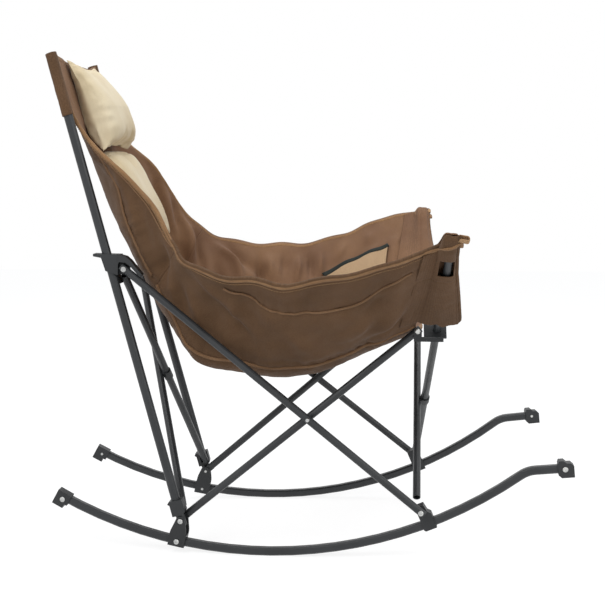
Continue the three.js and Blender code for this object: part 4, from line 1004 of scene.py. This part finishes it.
# %% [markdown]
# ## The arm sleeves
# Each arm is a steel tube inside a flat sleeve that is sewn to the front of the side wall. A window
# in its outer face shows the tube, its lower end hangs loose, and a stitched hem runs down its front.
# The sleeve could be a swept tube. It is one strip instead, wrapped from the wall's outside round
# the tube to the wall's inside through a row of points at each height, so it joins the wall smoothly.

# %% The line of an arm tube
def arm_line(sign):
    """Foot of the sleeve on the tube, the way up the tube, the way ahead and the way outwards."""
    foot, up = np.array([.2613, .2770 * sign, .5039]), np.array([.0301, .7926 * sign, .6090])
    up /= np.linalg.norm(up)
    ahead = np.array([1.0, 0, 0]) - up * up[0]
    ahead /= np.linalg.norm(ahead)
    out = np.cross(up, ahead) * sign
    return foot, up, ahead, out


def wall_share(sign, foot, up, heights):
    """The share on the wall that lies level with each height up the tube."""
    shares = np.linspace(.45, .985, 60)
    level = (on_sling(13.9, shares * sign) - foot) @ up
    return np.interp(heights, level, shares)


def beside_wall(sign, station, shares, face, clear):
    """Points just off one face of the wall."""
    return off_cloth(station, shares * sign, face, clear)[0]


# %% Wrap a sleeve round the arm
# heights up the tube and how far ahead of it the sleeve's front reaches, in metres
sleeve_front = ((-.02, .046), (.013, .044), (.10, .033), (.182, .0215), (.24, .0165), (.285, .0150),
                (.32, .0140))
sleeve_foot, sleeve_length = .002, .306
tip_from, tip_round = .284, .0242
sleeve_rows, sleeve_columns = 150, 110
window_columns, window_heights = (1.85, 4.15), (.184, .237)
inner_from = 6.4        # from this column on, the strip shows the inner cloth


def arm_sleeve(side, sign):
    foot, up, ahead, out = arm_line(sign)
    heights = sleeve_foot + sleeve_length * np.linspace(0, 1, sleeve_rows + 1)
    front = np.interp(heights, *zip(*sleeve_front))
    # round the tip the strip closes over the end of the tube
    tip = np.sqrt(np.clip(1 - (unit(heights - tip_from) / tip_round)**2, .0009, 1))
    shares = wall_share(sign, foot, up, heights)

    def at(lateral, off):
        lateral, off = (np.broadcast_to(x, sleeve_rows + 1)[:, None] for x in (lateral, off))
        return foot + up * heights[:, None] + ahead * lateral + out * off * tip[:, None]

    controls = np.stack([
        beside_wall(sign, 13.35, shares, -1, .0020), beside_wall(sign, 13.8, shares, -1, .0028),
        at(-.016, .0095), at(0, .0118), at(.30 * front + .004, .0095), at(front - .006, .0050),
        at(front, .0004), at(front - .006, -.0045), at(.30 * front + .002, -.0105), at(-.003, -.0118),
        at(-.015, -.0095), beside_wall(sign, 13.9, shares, 1, .0040),
        beside_wall(sign, 13.5, shares, 1, .0016)], 1)
    bm = bmesh.new()
    bmesh.ops.create_grid(bm, x_segments=sleeve_columns, y_segments=sleeve_rows, size=.5)
    flat = corners_of(bm)
    column = (flat[:, 0] + .5) * (controls.shape[1] - 1)
    climb = flat[:, 1] + .5
    row = np.rint(climb * sleeve_rows).astype(int)
    height = heights[row]
    place = np.zeros_like(flat)
    for k in range(sleeve_rows + 1):
        place[row == k] = along(controls[k], column[row == k])
    # the loose lower end waves
    place -= up * ((.004 * np.sin(column * 1.9) + .003 * np.sin(column * 4.1)) * (1 - climb)**2)[:, None]
    crease = .0016 * crumple(place, .035, 4.0 + sign) + .0006 * crumple(place, .013, 9.0)
    push = crease * np.clip(1 - np.abs(column - 6) / 9, .3, 1)
    push -= .0020 * (bell(column, 5.15, .07) + bell(column, 4.75, .05) + bell(column, 1.25, .09))
    push -= .0008 * bell(height, .165, .0022) * unit(1.5 - np.abs(column - 3.2) / 3.4)
    put_all(bm, place + out * (push * np.where(column < 6, 1.0, -1.0) * tip[row])[:, None])
    write_map(bm, column * .0135, height)
    in_window = ((column > window_columns[0]) & (column < window_columns[1])
                 & (height > window_heights[0]) & (height < window_heights[1]))
    for face in bm.faces:
        face.material_index = int(min(column[v.index] for v in face.verts) > inner_from)
    window = [face for face in bm.faces if all(in_window[v.index] for v in face.verts)]
    bmesh.ops.delete(bm, geom=window, context="FACES")
    obj = finished(side + "_arm_sleeve_cloth", bm, brown_outside, brown_inside)
    wall = obj.modifiers.new("cloth_thickness", "SOLIDIFY")
    wall.thickness, wall.offset = .0011, 0
    applied(obj)
    wears(obj, side + "_front_tube", "cloth", side + "_arm_sleeve")


# %% Tape over the tip, and its loop
def tip_tapes(side, sign):
    """Binding that carries the rim's tape over the arm's tip, and the small loop sewn to it."""
    foot, up, ahead, out = arm_line(sign)
    bend = [beside_wall(sign, station, np.array([.992]), -1, clear)[0]
            for station, clear in ((13.35, -.0020), (13.6, .0004), (13.85, .0030))]
    bend += [foot + up * h + ahead * a + out * o for h, a, o in
             ((.279, -.012, .0118), (.285, .000, .0122), (.289, .009, .0092), (.287, .0145, .0040),
              (.280, .0170, .0010), (.270, .0175, .0000))]
    centre = along(np.array(bend), np.linspace(0, len(bend) - 1, 50))
    outs = np.tile(out, (50, 1))
    tape = rolled(side + "_arm_tip_tape", centre, outs, .0020, .0042, tape_weave)
    wears(tape, side + "_front_tube", "binding")
    # the loop: a flat tape that runs out, turns and comes back
    top = foot + up * .298 + ahead * .010
    reach, gap = (.0155, .0045) if sign < 0 else (.005, .0022)
    t = np.linspace(0, 1, 46)
    turn = unit((t - .4) / .2) * math.pi
    run = reach * np.minimum(1, np.minimum(t, 1 - t) / .4) + gap * np.sin(turn)
    centre = top + ahead * run[:, None] + out * (gap * np.cos(turn))[:, None] + up * (-.25 * run)[:, None]
    loop = rolled(side + "_arm_loop_tape", centre, across_of(centre, up), .0009, .0062, tape_loop_weave)
    wears(loop, side + "_front_tube", "binding", side + "_arm_loop")


for side, sign in (("right", -1), ("left", 1)):
    arm_sleeve(side, sign)
    tip_tapes(side, sign)
print("arm sleeves made")

# %% [markdown]
# ## The mesh pocket
# A pocket of open net is sewn to the inside of the left wall, with a dark tape along its mouth. Real
# net is thousands of holes. Cutting them as geometry would cost more than it shows, so the net is a
# thin sheet whose colour and bump carry the holes, and only its slack and its tape are shaped.

# %% Net pocket and its tape
def net_finish(name, thread, gap):
    material, tree, shader = new_finish(name, thread, .8, Sheen_Weight=.2, Specular_IOR_Level=.2)
    spot = add(tree, "ShaderNodeTexCoord").outputs["UV"]
    cells = add(tree, "ShaderNodeTexVoronoi", {"Vector": spot, "Scale": 380, "Randomness": .12})
    hole = mapped(tree, cells.outputs["Distance"], .30, .46)
    tree.links.new(two_tone(tree, hole, gap, thread), shader.inputs["Base Color"])
    bumped(tree, shader, hole, .5, .0006)
    return material


net = net_finish("tan_net", srgb("c4a681"), srgb("94775a"))
pocket_ends = ((10.6, .800), (12.93, .828))    # the mouth's two ends, as station and share
pocket_foot = .60


def mouth_share(station):
    """The share that keeps the pocket's mouth straight from one end to the other."""
    (x1, _, z1), (x2, _, z2) = (on_sling(*end)[0] for end in pocket_ends)
    shares = np.linspace(.62, .96, 40)
    found = []
    for at in station:
        spots = on_sling(at, shares)
        above = spots[:, 2] - z1 - (spots[:, 0] - x1) * (z2 - z1) / (x2 - x1)
        found.append(np.interp(0, above, shares))
    return np.array(found)


net_columns, net_rows = 60, 44
net_off, net_sag, net_thick = .0094, .005, .0012
bm = bmesh.new()
bmesh.ops.create_grid(bm, x_segments=net_columns, y_segments=net_rows, size=.5)
bmesh.ops.solidify(bm, geom=bm.faces[:], thickness=1)
flat = corners_of(bm)
columns = np.rint((flat[:, 0] + .5) * net_columns).astype(int)
across = np.linspace(pocket_ends[0][0], pocket_ends[1][0], net_columns + 1)
station = across[columns]
share = pocket_foot + (flat[:, 1] + .5) * (mouth_share(across)[columns] - pocket_foot)
slack = np.cos(flat[:, 0] * math.pi) * np.sin(unit(flat[:, 1] + .5) * 2.2)
lift = gather(station, share) + net_off + net_sag * slack + net_thick * (flat[:, 2] > flat[:, 2].mean())
put_all(bm, on_sling(station, share) + facing(station, share) * lift[:, None])
pocket = finished("net_pocket", bm, net)
lay_out(pocket, station, share)
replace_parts(on_the_seat(pocket), "mesh_pocket")

# %% Tape along the pocket's mouth
mouth = np.linspace(pocket_ends[0][0] - .02, pocket_ends[1][0] + .02, 50)
shares = mouth_share(mouth)
out = facing(mouth, shares)
lifts = gather(mouth, shares) + .0105 + .0030 * np.cos(np.linspace(-.5, .5, 50) * math.pi)
line = on_sling(mouth, shares) + out * lifts[:, None]
hem = rolled("net_pocket_hem", line, out, .0021, .0058, dark_tape)
on_the_seat(hem)
